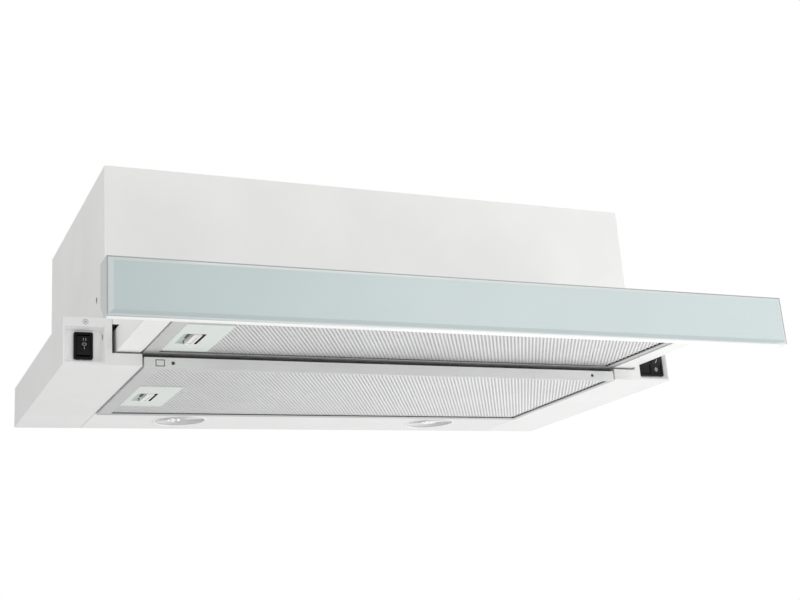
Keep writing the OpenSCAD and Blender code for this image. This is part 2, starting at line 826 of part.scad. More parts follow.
// (y, z) outline of the scroll, set outwards by a wall, with its neck up to z_top
function scroll_outline(wall, z_top) = concat(
    [for (a = [scroll_from : 5 : 360])
        [axis_y, axis_z] + (scroll_radius(a) + wall) * [cos(a), sin(a)]],
    [[axis_y + scroll_r1 + wall, z_top], [axis_y + scroll_r0 * cos(scroll_from) - wall, z_top]]
);

// Side wall of the scroll on the +x side, with its rolled inlet and its feet
module scroll_side() {
    difference() {
        union() {
            along_x(scroll_in_x, scroll_out_x) polygon(scroll_outline(scroll_wall, neck_top));
            for (y = foot_y) {
                block([scroll_in_x, y - foot_w / 2, base_h], [scroll_out_x, y + foot_w / 2, axis_z - drum_r]);
                block([scroll_in_x, y - foot_w / 2, base_h],
                      [scroll_out_x + foot_w, y + foot_w / 2, base_h + foot_t]);
            }
        }
        rod_x(scroll_in_x - past, scroll_out_x + past, axis_y, axis_z, inlet_r);
        for (y = foot_y)
            rod_z(base_h - past, base_h + foot_t + past, scroll_out_x + foot_w / 2, y, screw_hole_r);
    }
    top = scroll_wall + inlet_rise;
    translate([scroll_in_x, axis_y, axis_z]) rotate([0, 90, 0]) rotate_extrude() polygon([
        [inlet_r, 0], [inlet_r + scroll_wall, 0], [inlet_r + inlet_roll, scroll_wall],
        [inlet_r + inlet_roll, top], [inlet_r + inlet_roll - scroll_wall, top],
        [inlet_r, scroll_wall * 0.75]
    ]);
}

// The scroll: its spiral wall, its left side and the flange round its outlet
module scroll_housing() {
    y0 = axis_y + scroll_r0 * cos(scroll_from);
    y1 = axis_y + scroll_r1;
    at_outlet() color(dark) {
        along_x(-scroll_in_x, scroll_in_x) difference() {
            polygon(scroll_outline(scroll_wall, neck_top));
            polygon(scroll_outline(0, neck_top + past));
        }
        difference() {
            block([-scroll_out_x - neck_rim, y0 - scroll_wall - neck_rim, neck_top - scroll_wall],
                  [scroll_in_x, y1 + scroll_wall + neck_rim, neck_top]);
            block([-scroll_in_x, y0, neck_top - scroll_wall - past],
                  [scroll_in_x + past, y1, neck_top + past]);
        }
        mirror([1, 0, 0]) scroll_side();
    }
}

// The scroll's right side, a separate plate that comes off for the impeller
module scroll_cover() {
    at_outlet() color(dark) translate([cover_gap, 0, 0]) scroll_side();
}

hub_t = 2;
hub_x = -6;
hub_r = 9;
hub_front = 4;
hub_back = 8;
ring_t = 2;
ring_w = blade_d - 1.5;
blade_in = 0.6;

// One forward-curved blade, as an (y, z) outline about the shaft
module blade() {
    inner = drum_r - blade_d;
    steps = 4;
    lean = 14;
    function at(i, r) = let (a = lean * pow(i / steps, 2)) r * [cos(a), sin(a)];
    function radius(i) = inner + (drum_r - blade_in - inner) * i / steps;
    polygon(concat(
        [for (i = [0 : steps]) at(i, radius(i))],
        [for (i = [steps : -1 : 0]) at(i, radius(i)) + [0, blade_t]]
    ));
}

// The impeller: a ring of forward-curved blades on both sides of a hub disc
module impeller() {
    h = drum_w / 2;
    at_outlet() color(grey) translate([0, axis_y, axis_z]) {
        for (i = [0 : blade_count - 1])
            rotate([i * 360 / blade_count, 0, 0]) along_x(-h + ring_t / 2, h - ring_t / 2) blade();
        for (x = [-h, h - ring_t])
            translate([x, 0, 0]) rotate([0, 90, 0]) rotate_extrude()
                translate([drum_r - ring_w, 0]) square([ring_w, ring_t]);
        translate([hub_x, 0, 0]) rotate([0, 90, 0]) rotate_extrude() polygon([
            [shaft_r, -hub_front], [hub_r, -hub_front], [hub_r, 0],
            [drum_r - ring_w / 2, 0], [drum_r - ring_w / 2, hub_t],
            [hub_r, hub_t], [hub_r, hub_back], [shaft_r, hub_back]
        ]);
    }
}

motor_x = 8;
bearing_l = 12;
shaft_end_gap = 0.5;
motor_nose_r = 10;
motor_nose = 3;
motor_round = 5;
motor_ribs = 12;
motor_rib_w = 2;
motor_rib_h = 1.2;

// The shaft, pressed into the impeller's hub and turning in the motor's bearings
module motor_shaft() {
    at_outlet() color(steel)
        rod_x(hub_x - hub_back, motor_x + bearing_l - shaft_end_gap, axis_y, axis_z, shaft_r);
}

// The motor: a finned can, partly inside the impeller
module motor() {
    at_outlet() color(steel) difference() {
        union() {
            translate([motor_x, axis_y, axis_z]) rotate([0, 90, 0]) rotate_extrude() polygon([
                [0, 0], [motor_nose_r, 0], [motor_nose_r, motor_nose],
                [motor_r - motor_round, motor_nose], [motor_r, motor_nose + motor_round],
                [motor_r, motor_l - motor_round], [motor_r - motor_round, motor_l], [0, motor_l]
            ]);
            for (i = [0 : motor_ribs - 1])
                translate([0, axis_y, axis_z]) rotate([i * 360 / motor_ribs, 0, 0])
                    block([motor_x + motor_nose + 1.5 * motor_round, -motor_rib_w / 2, motor_r - motor_rib_w],
                          [motor_x + motor_l - 1.5 * motor_round, motor_rib_w / 2, motor_r + motor_rib_h]);
        }
        rod_x(motor_x - past, motor_x + bearing_l, axis_y, axis_z, shaft_r + pin_gap);
    }
}

bracket_x = scroll_out_x + inlet_rise + inlet_clear;
bracket_t = 2;
bracket_r = inlet_r + 2 * inlet_roll;
bracket_arm_w = 10;
bracket_post_r = 4;
clamp_gap = 0.2;
clamp_t = 2.4;
clamp_front = 4;
clamp_back = 8;

// The three-armed bracket that holds the motor in the inlet of the scroll's cover
module motor_bracket() {
    clamp_r = motor_r + motor_rib_h + clamp_gap;
    arm = bracket_arm_w / 2;
    at_outlet() color(steel) translate([0, axis_y, axis_z]) difference() {
        union() {
            rod_x(bracket_x - clamp_front, bracket_x + clamp_back, 0, 0, clamp_r + clamp_t);
            for (a = [90, 210, 330]) rotate([a, 0, 0]) {
                block([bracket_x, 0, -arm], [bracket_x + bracket_t, bracket_r + arm, arm]);
                rod_x(scroll_out_x + cover_gap, bracket_x + bracket_t, bracket_r, 0, bracket_post_r);
            }
        }
        rod_x(bracket_x - clamp_front - past, bracket_x + clamp_back + past, 0, 0, clamp_r);
        for (a = [90, 210, 330]) rotate([a, 0, 0])
            rod_x(scroll_out_x - past, bracket_x + bracket_t + past, bracket_r, 0, screw_hole_r);
    }
}

// Screws of the scroll's feet and of the motor bracket
module blower_screws() {
    at_outlet() color(steel) {
        for (p = scroll_foot_screws)
            translate([p[0], p[1], base_h + foot_t]) screw(screw_r, screw_l, screw_head_r, screw_head_h);
        for (a = [90, 210, 330])
            translate([0, axis_y, axis_z]) rotate([a, 0, 0])
                translate([bracket_x + bracket_t, bracket_r, 0]) rotate([0, 90, 0])
                    screw(screw_r, bracket_x + bracket_t - scroll_out_x - 2 * cover_gap,
                          screw_head_r, screw_head_h);
    }
}

// ---------------------------------------------------------------- wiring

inner_back_y = casing_y1 - sheet;
box_w = 70;
box_h = 58;
box_d = 28;
box_wall = 2;
lid_t = 1.8;
lid_fit = 0.2;
lid_lip = 2;
box_x0 = gland_x - box_w / 2;
box_z0 = gland_z - 0.67 * box_h;

// The open tray of the terminal box, on the back inside the casing
module terminal_box() {
    y1 = inner_back_y;
    y0 = y1 - box_d;
    at_outlet() color(plastic) difference() {
        block([box_x0, y0, box_z0], [box_x0 + box_w, y1, box_z0 + box_h]);
        block([box_x0 + box_wall, y0 - past, box_z0 + box_wall],
              [box_x0 + box_w - box_wall, y1 - box_wall, box_z0 + box_h - box_wall]);
        rod_y(y1 - box_wall - past, y1 + past, gland_x, gland_z, gland_body_r + gland_gap);
    }
}

// The lid that closes the terminal box, with a lip inside its lower edge
module terminal_lid() {
    y0 = inner_back_y - box_d;
    x = box_wall + lid_fit;
    at_outlet() color(plastic) {
        block([box_x0, y0 - lid_t, box_z0], [box_x0 + box_w, y0, box_z0 + box_h]);
        block([box_x0 + x, y0 - lid_t / 2, box_z0 + x],
              [box_x0 + box_w - x, y0 + lid_lip, box_z0 + x + lid_lip]);
    }
}

gland_in = 4;
gland_out = 6;
gland_flange = 3;
gland_flange_t = 2;

// The gland where the mains cable enters, without its cable
module cable_gland() {
    y0 = inner_back_y - box_wall - gland_in;
    y1 = casing_y1 + gland_out;
    at_outlet() color(black) difference() {
        union() {
            rod_y(y0, y1, gland_x, gland_z, gland_body_r);
            rod_y(casing_y1, casing_y1 + gland_flange_t, gland_x, gland_z, gland_body_r + gland_flange);
        }
        rod_y(y0 - past, y1 + past, gland_x, gland_z, gland_bore_r);
    }
}

cap_r = 15;
cap_l = 50;
cap_from_side = 134;
cap_from_top = 48;
cap_pin_r = 1.5;
cap_pin_l = 6;
cap_pin_pitch = 10;
cap_clip_w = 14;
cap_clip_t = 1.4;

// The motor capacitor with its clip on the back of the casing
module capacitor() {
    x0 = casing_x - cap_from_side;
    x1 = x0 + cap_l;
    y = inner_back_y - cap_r - cap_clip_t;
    z = casing_z1 - cap_from_top;
    clip = (x0 + x1 - cap_clip_w) / 2;
    at_outlet() color(grey) {
        rod_x(x0, x1, y, z, cap_r);
        for (s = [-1, 1])
            rod_x(x1 - past, x1 + cap_pin_l, y + s * cap_pin_pitch / 2, z, cap_pin_r);
        block([clip, y, z - cap_r - cap_clip_t], [clip + cap_clip_w, inner_back_y, z + cap_r + cap_clip_t]);
    }
}

driver_w = 84;
driver_d = 34;
driver_h = 22;
driver_from_side = 154;
driver_y = 2.5;
driver_ear_l = 8;
driver_ear_w = 12;
driver_ear_t = 2;

// The lamps' driver, on the base plate above the lamp strip, with an ear for a
// screw at each end
module lamp_driver() {
    x0 = casing_x - driver_from_side;
    y0 = lamp_panel_y + driver_y;
    y_mid = y0 + driver_d / 2;
    at_outlet() color(black) {
        block([x0, y0, base_h], [x0 + driver_w, y0 + driver_d, base_h + driver_h]);
        for (x = [x0 - driver_ear_l, x0 + driver_w])
            block([x, y_mid - driver_ear_w / 2, base_h],
                  [x + driver_ear_l, y_mid + driver_ear_w / 2, base_h + driver_ear_t]);
    }
}

button_r = 1.5;
button_out = 1.6;
button_in = 2.4;
button_y = travel + rail_hold + seat_gap;
micro_w = 20;
micro_h = 13;
micro_pin_l = 5;
micro_pin_w = 3;
micro_pin_t = 0.8;
micro_z1 = wing_top_z - sheet;
micro_z0 = micro_z1 - micro_h;
button_z = micro_z0 + micro_h * 0.4;

// The switch that stops the motor when the drawer is pushed home. It hangs under
// the rear flange of the lamp panel, with two terminals on its side.
module microswitch() {
    y0 = button_y + button_out;
    y1 = plate_y1 - seat_gap;
    half = micro_w / 2;
    pin_y = (y0 + y1 - micro_pin_w) / 2;
    at_outlet() color(black) difference() {
        union() {
            block([-half, y0, micro_z0], [half, y1, micro_z1]);
            for (z = [micro_z0 + micro_h / 4, micro_z1 - micro_h / 4])
                block([half - past, pin_y, z], [half + micro_pin_l, pin_y + micro_pin_w, z + micro_pin_t]);
        }
        rod_y(y0 - past, y0 + button_in + button_out, 0, button_z, button_r + pin_gap);
    }
}

// The button that the drawer's rear bar presses
module microswitch_plunger() {
    at_outlet() color(red) rod_y(button_y, button_y + button_out + button_in, 0, button_z, button_r);
}

// ---------------------------------------------------------------- switches

bezel_rim = 1.2;
switch_fit = 0.2;
bezel_y = pocket_depth - bezel_t;
switch_body_l = 15;
bezel_round = 1.5;
pivot_in = 3.4;
pivot_y = bezel_y + pivot_in;
well_wall = 2;
well_between = 1.2;
well_floor = 2;
well_end = 2.2;
pivot_hole_l = 0.5;
blade_pin_t = 0.8;
blade_pin_w = 4.4;
blade_pin_l = 6;
blade_pin_z = 4;
rocker_pin_r = 1.2;
rocker_side = 0.2;
rocker_end = 3.4;
rocker_horn = 4.2;
rocker_valley = 2.6;
rocker_edge = 0.5;
rocker_root = 3;

// Places of a switch's rockers across its width, from its centre, and their width
function well_w(w, n) = (w - 2 * well_wall - (n - 1) * well_between) / n;
function well_x(w, n, i) = (i - (n - 1) / 2) * (well_w(w, n) + well_between);

// A switch for n rockers, as a body behind a rounded bezel, on the right side
module switch_body(x, w, h, n) {
    depth = bezel_y + switch_body_l;
    half = well_w(w, n) / 2;
    well_h = h / 2 - well_end;
    translate([x, 0, switch_z]) difference() {
        union() {
            along_y(bezel_y, pocket_depth) rounded_plate(w, h, bezel_round);
            block([-w / 2 + bezel_rim, pocket_depth - 0.5, -h / 2 + bezel_rim],
                  [w / 2 - bezel_rim, depth, h / 2 - bezel_rim]);
            for (i = [0 : n - 1], s = [-1, 1])
                translate([well_x(w, n, i), depth, s * blade_pin_z])
                    block([-blade_pin_t / 2, -0.5, -blade_pin_w / 2],
                          [blade_pin_t / 2, blade_pin_l, blade_pin_w / 2]);
        }
        for (i = [0 : n - 1])
            translate([well_x(w, n, i), 0, 0]) {
                block([-half, bezel_y - past, -well_h], [half, depth - well_floor, well_h]);
                rod_x(-half - pivot_hole_l, half + pivot_hole_l, pivot_y, 0, rocker_pin_r + pin_gap);
            }
    }
}

// A rocker on its pivot: two sloping faces that meet in a shallow valley
module rocker(x, w, h, tilt) {
    top = h / 2 - rocker_end;
    side = w / 2 - rocker_side;
    translate([x, pivot_y, switch_z]) rotate([tilt, 0, 0]) {
        along_x(-side, side) polygon([
            [-rocker_horn, top], [-rocker_valley, 0], [-rocker_horn, -top], [-rocker_edge, -top],
            [rocker_root, -top * 0.55], [rocker_root, top * 0.55], [-rocker_edge, top]
        ]);
        rod_x(-w / 2 - pivot_hole_l + 0.1, w / 2 + pivot_hole_l - 0.1, 0, 0, rocker_pin_r);
    }
}

module speed_switch_body() {
    at_outlet() color(black) switch_body(speed_x - hood_w / 2, speed_w, speed_h, 1);
}
module speed_rocker() {
    at_outlet() color(black) rocker(speed_x - hood_w / 2, well_w(speed_w, 1), speed_h, 0);
}
module twin_switch_body() {
    at_outlet() color(black) switch_body(hood_w / 2 - twin_x, twin_w, twin_h, 2);
}
module fan_rocker() {
    at_outlet() color(black)
        rocker(hood_w / 2 - twin_x + well_x(twin_w, 2, 0), well_w(twin_w, 2), twin_h, rocker_tilt);
}
module light_rocker() {
    at_outlet() color(black)
        rocker(hood_w / 2 - twin_x + well_x(twin_w, 2, 1), well_w(twin_w, 2), twin_h, rocker_tilt);
}

// ---------------------------------------------------------------- drawer

panel_z0 = -panel_drop;
panel_z1 = panel_h - panel_drop;
backing_y1 = -travel;
backing_y0 = backing_y1 - backing_d;
cap_t = 1.5;
cap_plug_l = 6;
cap_fit = 0.15;

// The glass front, bevelled all round
module glass_panel() {
    half = hood_w / 2;
    y0 = backing_y0 - glass_t;
    at_outlet() color(ice) {
        block([-half, y0 + glass_bevel, panel_z0], [half, backing_y0, panel_z1]);
        mirror([0, 1, 0])
            bevelled_block(-half, half, panel_z0, panel_z1, -y0 - glass_bevel, -y0, glass_bevel, glass_bevel);
    }
}

// (y, z) outline of the hollow profile behind the glass
backing_outline = [
    [backing_y0, panel_z0], [backing_y0 + backing_foot, panel_z0],
    [backing_y1, panel_z0 + backing_d - backing_foot], [backing_y1, panel_z1], [backing_y0, panel_z1]
];

// The painted profile that the glass is glued to and the rails are screwed to
module panel_backing() {
    half = hood_w / 2 - cap_t;
    at_outlet() color(white) along_x(-half, half) difference() {
        polygon(backing_outline);
        polygon(inset(backing_outline, backing_wall));
    }
}

// An end cap of the profile, on the right side
module panel_cap() {
    half = hood_w / 2;
    along_x(half - cap_t, half) polygon(backing_outline);
    along_x(half - cap_t - cap_plug_l, half - cap_t) difference() {
        polygon(inset(backing_outline, backing_wall + cap_fit));
        polygon(inset(backing_outline, backing_wall + cap_fit + cap_t));
    }
}

module left_panel_cap() { at_outlet() color(white) mirror([1, 0, 0]) panel_cap(); }
module right_panel_cap() { at_outlet() color(white) panel_cap(); }

// A hollow side rail of the drawer, on the right side
module drawer_rail() {
    outline = [
        [rail_in_x, rail_z], [rail_out_x, rail_z], [rail_out_x, rail_top_z], [rail_in_x, rail_top_z]
    ];
    along_y(backing_y1, rail_hold) difference() {
        polygon(outline);
        polygon(inset(outline, rail_wall));
    }
}

// The left rail, with the slot for the filter's latch
module left_drawer_rail() {
    at_outlet() color(white) difference() {
        mirror([1, 0, 0]) drawer_rail();
        tongue_slot(-rail_in_x, rail_wall, drawer_tab_y, drawer_filter_z);
    }
}

// The right rail, with the slots for the filter's hooks
module right_drawer_rail() {
    at_outlet() color(white) difference() {
        drawer_rail();
        hook_slots(rail_in_x, rail_wall, drawer_filter_y, drawer_filter_z, drawer_filter_d);
    }
}

cover_fold_h = 6;
cover_back = 6;
bar_d = 12;
bar_h = 9;

// The sheet that closes the drawer's top in front of the base
module drawer_cover() {
    path = [
        [rail_in_x, rail_top_z - cover_fold_h], [rail_in_x, rail_top_z],
        [-rail_in_x, rail_top_z], [-rail_in_x, rail_top_z - cover_fold_h]
    ];
    at_outlet() color(white) along_y(backing_y1, cover_back) polygon(folded(path, sheet));
}

// The folded bar that joins the rails' rear ends
module drawer_rear_bar() {
    y0 = rail_hold - bar_d;
    z0 = rail_top_z - bar_h;
    path = [[rail_hold, z0], [rail_hold, rail_top_z], [y0, rail_top_z], [y0, z0]];
    at_outlet() color(white) along_x(-rail_in_x, rail_in_x) polygon(folded(path, sheet));
}

// Places along the rails of the four glides
glide_places = [10, rail_hold - glide_l - 4];
glide_fit = 0.4;

// A T-shaped nylon glide on the right rail
module glide(y) {
    z0 = rail_top_z;
    neck = channel_slot / 2 - glide_fit;
    head = channel_w / 2 - channel_wall - glide_fit;
    head_z = z0 + channel_gap + channel_wall + seat_gap;
    top = wing_top_z - channel_wall - glide_fit;
    along_y(y, y + glide_l) translate([rail_mid_x, 0]) polygon([
        [-neck, z0], [neck, z0], [neck, head_z], [head, head_z], [head, top],
        [-head, top], [-head, head_z], [-neck, head_z]
    ]);
}

module drawer_glides() {
    at_outlet() color(plastic) both_sides() for (y = glide_places) glide(y);
}

// ---------------------------------------------------------------- filters

base_filter_y = seat_gap;
base_filter_z = -filter_drop;
drawer_filter_y = backing_y1 + 0.5;
drawer_filter_z = rail_z + 0.6;
tab_back = 2;
base_tab_y = base_filter_y + latch_y_base + latch_d / 2 + tab_back;
drawer_tab_y = drawer_filter_y + latch_y_drawer + latch_d / 2 + tab_back;
top_flange = 6;
tongue_t = 1.6;
tongue_w = 16;
tongue_rise = 4.3;
tongue_reach = 2.5;
hook_w = 14;
hook_t = 1.2;
hook_rise = 4.3;
hook_l = 3;
hook_in = 30;
hook_room = 3.4;
hook_side = 1;
strip_hole_r = 1.5;
strip_hole_x = 208;
strip_hole_z = 4.8;
stamp_w = 8;
stamp_h = 6;
stamp_line = 0.8;
stamp_deep = 0.3;
stamp_in = 13.5;

// Places of the two hooks of a filter of depth d, behind its front
function hook_places(d) = [hook_in, d - hook_in - hook_w];

// The slots that a filter's two hooks drop into, in a wall that starts at x
module hook_slots(x, wall, filter_y, filter_z, d) {
    for (y = hook_places(d))
        block([x - past, filter_y + y - hook_side, filter_z + hook_rise - seat_gap],
              [x + wall + past, filter_y + y + hook_w + hook_side,
               filter_z + hook_rise + hook_t + hook_room]);
}

// The folded aluminium frame of a filter of depth d, with the front of its
// underside on the x axis. Its front strip has two rivet holes and a small
// stamped rectangle.
module filter_frame(d, border, tab_y, hook_to) {
    z1 = filter_t;
    x = filter_x;
    stamp_x = -x + stamp_in;
    difference() {
        block([-x, 0, 0], [x, d, z1]);
        along_y(-past, stamp_deep) translate([stamp_x, strip_hole_z]) difference() {
            square([stamp_w, stamp_h], center = true);
            square([stamp_w - 2 * stamp_line, stamp_h - 2 * stamp_line], center = true);
        }
        for (s = [-1, 1])
            rod_y(-past, frame_t + past, s * strip_hole_x, strip_hole_z, strip_hole_r);
        block([-x + frame_t, frame_t, frame_t], [x - frame_t, d - frame_t, z1 - frame_t]);
        block([-x + border_latch, border_front, -past],
              [x - border_hook, d - border, 2 * frame_t]);
        block([-x + top_flange, top_flange, z1 - 2 * frame_t],
              [x - top_flange, d - top_flange, z1 + past]);
        tongue_slot(-x + frame_t, frame_t, tab_y, 0);
    }
    for (y = hook_places(d))
        block([x - frame_t / 2, y, hook_rise], [hook_to, y + hook_w, hook_rise + hook_t]);
}

// A perforated sheet between two corners, with staggered six-sided openings
module perforated(x0, x1, y0, y1, skip_x, skip_y0, skip_y1) {
    cell_x = (x1 - x0) / mesh_columns;
    cell_y = (y1 - y0) / mesh_rows;
    r = mesh_open * min(cell_x, cell_y) / 2;
    difference() {
        translate([x0, y0]) square([x1 - x0, y1 - y0]);
        for (row = [0 : mesh_rows - 1], col = [0 : mesh_columns - 1]) {
            shift = row % 2 == 0 ? 0.25 : 0.75;
            cx = x0 + (col + shift) * cell_x;
            cy = y0 + (row + 0.5) * cell_y;
            if (cx > skip_x + r + past || cy < skip_y0 - r - past || cy > skip_y1 + r + past)
                translate([cx, cy]) circle(r = r, $fn = 6);
        }
    }
}

mesh_inset = 0.4;
mesh_x = filter_x - frame_t - mesh_inset;
mesh_y0 = frame_t + mesh_inset;
latch_x0 = -filter_x + border_latch;
latch_x1 = latch_x0 + latch_w;
latch_lap = 3;

// The lower perforated sheet of a filter of depth d, with the opening for the latch plate
module lower_mesh(d, latch_y) {
    along_z(frame_t, frame_t + mesh_t) difference() {
        perforated(-mesh_x, mesh_x, mesh_y0, d - mesh_y0, latch_x1, latch_y, latch_y + latch_d);
        translate([latch_x0 - past, latch_y + latch_lap])
            square([latch_w - latch_lap + past, latch_d - 2 * latch_lap]);
    }
}

pad_t = 0.5;
pleat_pitch = 11;
pad_gap = 0.1;
latch_clear = 1;

// The grease pad: a pleated layer of expanded metal, cut out round the latch
module filter_pad(d, latch_y) {
    z0 = frame_t + mesh_t + pad_gap;
    z1 = filter_t - z0 - 1.4 * pad_t;
    pleats = floor(2 * mesh_x / pleat_pitch);
    step = mesh_x / pleats;
    zigzag = [for (i = [0 : 2 * pleats]) [-mesh_x + i * step, i % 2 == 0 ? z0 : z1]];
    difference() {
        along_y(mesh_y0, d - mesh_y0) polygon(folded(zigzag, pad_t));
        block([-filter_x, latch_y + latch_clear, 0],
              [latch_x1 + latch_clear, latch_y + latch_d - latch_clear, filter_t]);
    }
}

// The upper perforated sheet
module upper_mesh(d) {
    along_z(filter_t - frame_t - mesh_t, filter_t - frame_t)
        perforated(-mesh_x, mesh_x, mesh_y0, d - mesh_y0, -2 * filter_x, 0, 0);
}

tab_x = 16.5;
tab_drop = 1.4;
tab_gap = 0.4;
tab_rim = 1.5;
slope_l = 7.5;
plate_t = 1.6;
plate_drop = 0.2;
slide_gap = 0.2;
slide_lap = 5;
slide_end = 2;

// The moulded latch plate: a flat face with a finger slope that leads to the
// opening that the tab slides in
module latch_plate(latch_y, tab_y) {
    grip = latch_x0 + tab_x;
    s0 = grip - tab_w / 2 - tab_gap;
    s1 = grip + tab_w / 2 + tab_travel + tab_gap;
    inner = frame_t + plate_t;
    fit = latch_lap + seat_gap;
    difference() {
        union() {
            along_z(-plate_drop, frame_t) translate([latch_x0 + latch_w / 2, latch_y + latch_d / 2])
                rounded_plate(latch_w, latch_d, 1);
            block([latch_x0 + seat_gap, latch_y + fit, 0], [latch_x1 - fit, latch_y + latch_d - fit, inner]);
        }
        block([s0, tab_y - tab_l / 2 - tab_gap, -past], [s1, tab_y + tab_l / 2 + tab_gap, filter_t]);
        along_y(tab_y - tab_l / 2, tab_y + tab_l / 2) polygon([
            [s0 - slope_l, -past], [s0 + past, -past], [s0 + past, inner - 0.5],
            [s0, inner - 0.5], [s0 - slope_l, -plate_drop]
        ]);
    }
}

// The sliding tab: the hollowed grip, the slider behind the plate and the tongue
// that locks the filter to a wall at wall_x
module latch_tab(tab_y, wall_x) {
    g0 = latch_x0 + tab_x - tab_w / 2;
    y0 = tab_y - tab_l / 2;
    y1 = tab_y + tab_l / 2;
    slide_z0 = frame_t + plate_t + slide_gap;
    z1 = tongue_rise + tongue_t;
    difference() {
        block([g0, y0, -tab_drop], [g0 + tab_w, y1, slide_z0 + 0.5]);
        block([g0 + tab_rim, y0 + tab_rim, -tab_drop - past],
              [g0 + tab_w - tab_rim, y1 - tab_rim, tab_rim - tab_drop]);
    }
    block([g0 - slide_lap, y0 - slide_end, slide_z0], [g0 + tab_w + slide_lap, y1 + slide_end, z1]);
    block([-wall_x - tongue_reach, tab_y - tongue_w / 2, tongue_rise], [g0, tab_y + tongue_w / 2, z1]);
}

// Places a filter's piece where the lower filter lies
module at_base_filter() {
    at_outlet() translate([0, base_filter_y, base_filter_z]) children();
}

// Places a filter's piece where the drawer's filter lies
module at_drawer_filter() {
    at_outlet() translate([0, drawer_filter_y, drawer_filter_z]) children();
}

module base_filter_frame() {
    at_base_filter() color(alu)
        filter_frame(filter_d, border_back, base_tab_y - base_filter_y, lip_x + hook_l);
}
module base_filter_lower_mesh() { at_base_filter() color(alu) lower_mesh(filter_d, latch_y_base); }
module base_filter_pad() { at_base_filter() color(grey) filter_pad(filter_d, latch_y_base); }
module base_filter_upper_mesh() { at_base_filter() color(alu) upper_mesh(filter_d); }
module base_latch_plate() {
    at_base_filter() color(plastic) latch_plate(latch_y_base, base_tab_y - base_filter_y);
}
module base_latch_tab() {
    at_base_filter() color(plastic) latch_tab(base_tab_y - base_filter_y, lip_x);
}

module drawer_filter_frame() {
    at_drawer_filter() color(alu)
        filter_frame(drawer_filter_d, drawer_border_back, drawer_tab_y - drawer_filter_y,
                     rail_in_x + hook_l);
}
module drawer_filter_lower_mesh() {
    at_drawer_filter() color(alu) lower_mesh(drawer_filter_d, latch_y_drawer);
}
module drawer_filter_pad() {
    at_drawer_filter() color(grey) filter_pad(drawer_filter_d, latch_y_drawer);
}
module drawer_filter_upper_mesh() { at_drawer_filter() color(alu) upper_mesh(drawer_filter_d); }
module drawer_latch_plate() {
    at_drawer_filter() color(plastic) latch_plate(latch_y_drawer, drawer_tab_y - drawer_filter_y);
}
module drawer_latch_tab() {
    at_drawer_filter() color(plastic) latch_tab(drawer_tab_y - drawer_filter_y, rail_in_x);
}

// ---------------------------------------------------------------- the pieces

casing_shell();
casing_top();
casing_back();
casing_screws();
base_plate();
lamp_panel();
left_wing();
right_wing();
left_slide_channel();
right_slide_channel();
left_lamp_ring();
right_lamp_ring();
left_lamp_lens();
right_lamp_lens();
left_lamp_body();
right_lamp_body();
outlet_collar();
flap_pin();
left_flap();
right_flap();
scroll_housing();
scroll_cover();
impeller();
motor_shaft();
motor();
motor_bracket();
blower_screws();
capacitor();
terminal_box();
terminal_lid();
cable_gland();
lamp_driver();
microswitch();
microswitch_plunger();
speed_switch_body();
speed_rocker();
twin_switch_body();
fan_rocker();
light_rocker();
glass_panel();
panel_backing();
left_panel_cap();
right_panel_cap();
left_drawer_rail();
right_drawer_rail();
drawer_cover();
drawer_rear_bar();
drawer_glides();
base_filter_frame();
base_filter_lower_mesh();
base_filter_pad();
base_filter_upper_mesh();
base_latch_plate();
base_latch_tab();
drawer_filter_frame();
drawer_filter_lower_mesh();
drawer_filter_pad();
drawer_filter_upper_mesh();
drawer_latch_plate();
drawer_latch_tab();
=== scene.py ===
"""Looks of the pull-out range hood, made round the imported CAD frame.

Lengths in the classes are in millimetres and in hood coordinates, as in the
part's source: x = 0 on the centre plane, y = 0 on the front face of the base,
z = 0 on its underside. at() turns them into the frame's metres.
"""

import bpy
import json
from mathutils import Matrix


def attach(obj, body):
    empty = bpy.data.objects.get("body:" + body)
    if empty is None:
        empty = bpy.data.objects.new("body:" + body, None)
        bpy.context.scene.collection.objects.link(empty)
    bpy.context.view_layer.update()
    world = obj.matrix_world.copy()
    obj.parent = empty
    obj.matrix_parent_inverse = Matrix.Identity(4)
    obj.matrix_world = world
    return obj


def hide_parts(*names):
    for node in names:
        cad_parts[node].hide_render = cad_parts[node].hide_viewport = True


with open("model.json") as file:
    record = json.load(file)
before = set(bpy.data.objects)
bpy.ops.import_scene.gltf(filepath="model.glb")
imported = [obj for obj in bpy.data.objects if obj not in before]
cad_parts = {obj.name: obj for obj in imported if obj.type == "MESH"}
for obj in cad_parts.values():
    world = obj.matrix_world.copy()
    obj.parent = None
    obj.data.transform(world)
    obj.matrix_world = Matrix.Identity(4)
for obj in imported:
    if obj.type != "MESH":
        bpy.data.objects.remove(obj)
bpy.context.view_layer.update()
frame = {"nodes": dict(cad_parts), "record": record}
SLOT_OF = {part["node"]: part["material_slot"] for part in frame["record"]["subparts"]}
BODY_OF = {node: body for body, nodes in frame["record"]["behaviour"]["bodies"].items() for node in nodes}

import json
import logging
import math
from collections.abc import Callable, Iterator, Sequence
from contextlib import contextmanager
from dataclasses import dataclass, field, replace
from enum import Enum
from functools import cache

import bmesh
import bpy
from mathutils import Matrix, Vector

logging.basicConfig(level=logging.INFO, format="%(name)s: %(message)s")
log = logging.getLogger("range_hood")

MM = 0.001
# The part's origin, the middle of the duct collar, in hood coordinates
ORIGIN = Vector((0.0, 139.0, 180.0))
Triple = tuple[float, float, float]
# Says whether a face with this middle and normal is wanted
FaceTest = Callable[[Vector, Vector], bool]
RANGE_SOCKETS = ("From Min", "From Max", "To Min", "To Max")


def at(x: float, y: float, z: float) -> Vector:
    """Turns a point in hood millimetres into the part's own frame, in metres."""
    return (Vector((x, y, z)) - ORIGIN) * MM


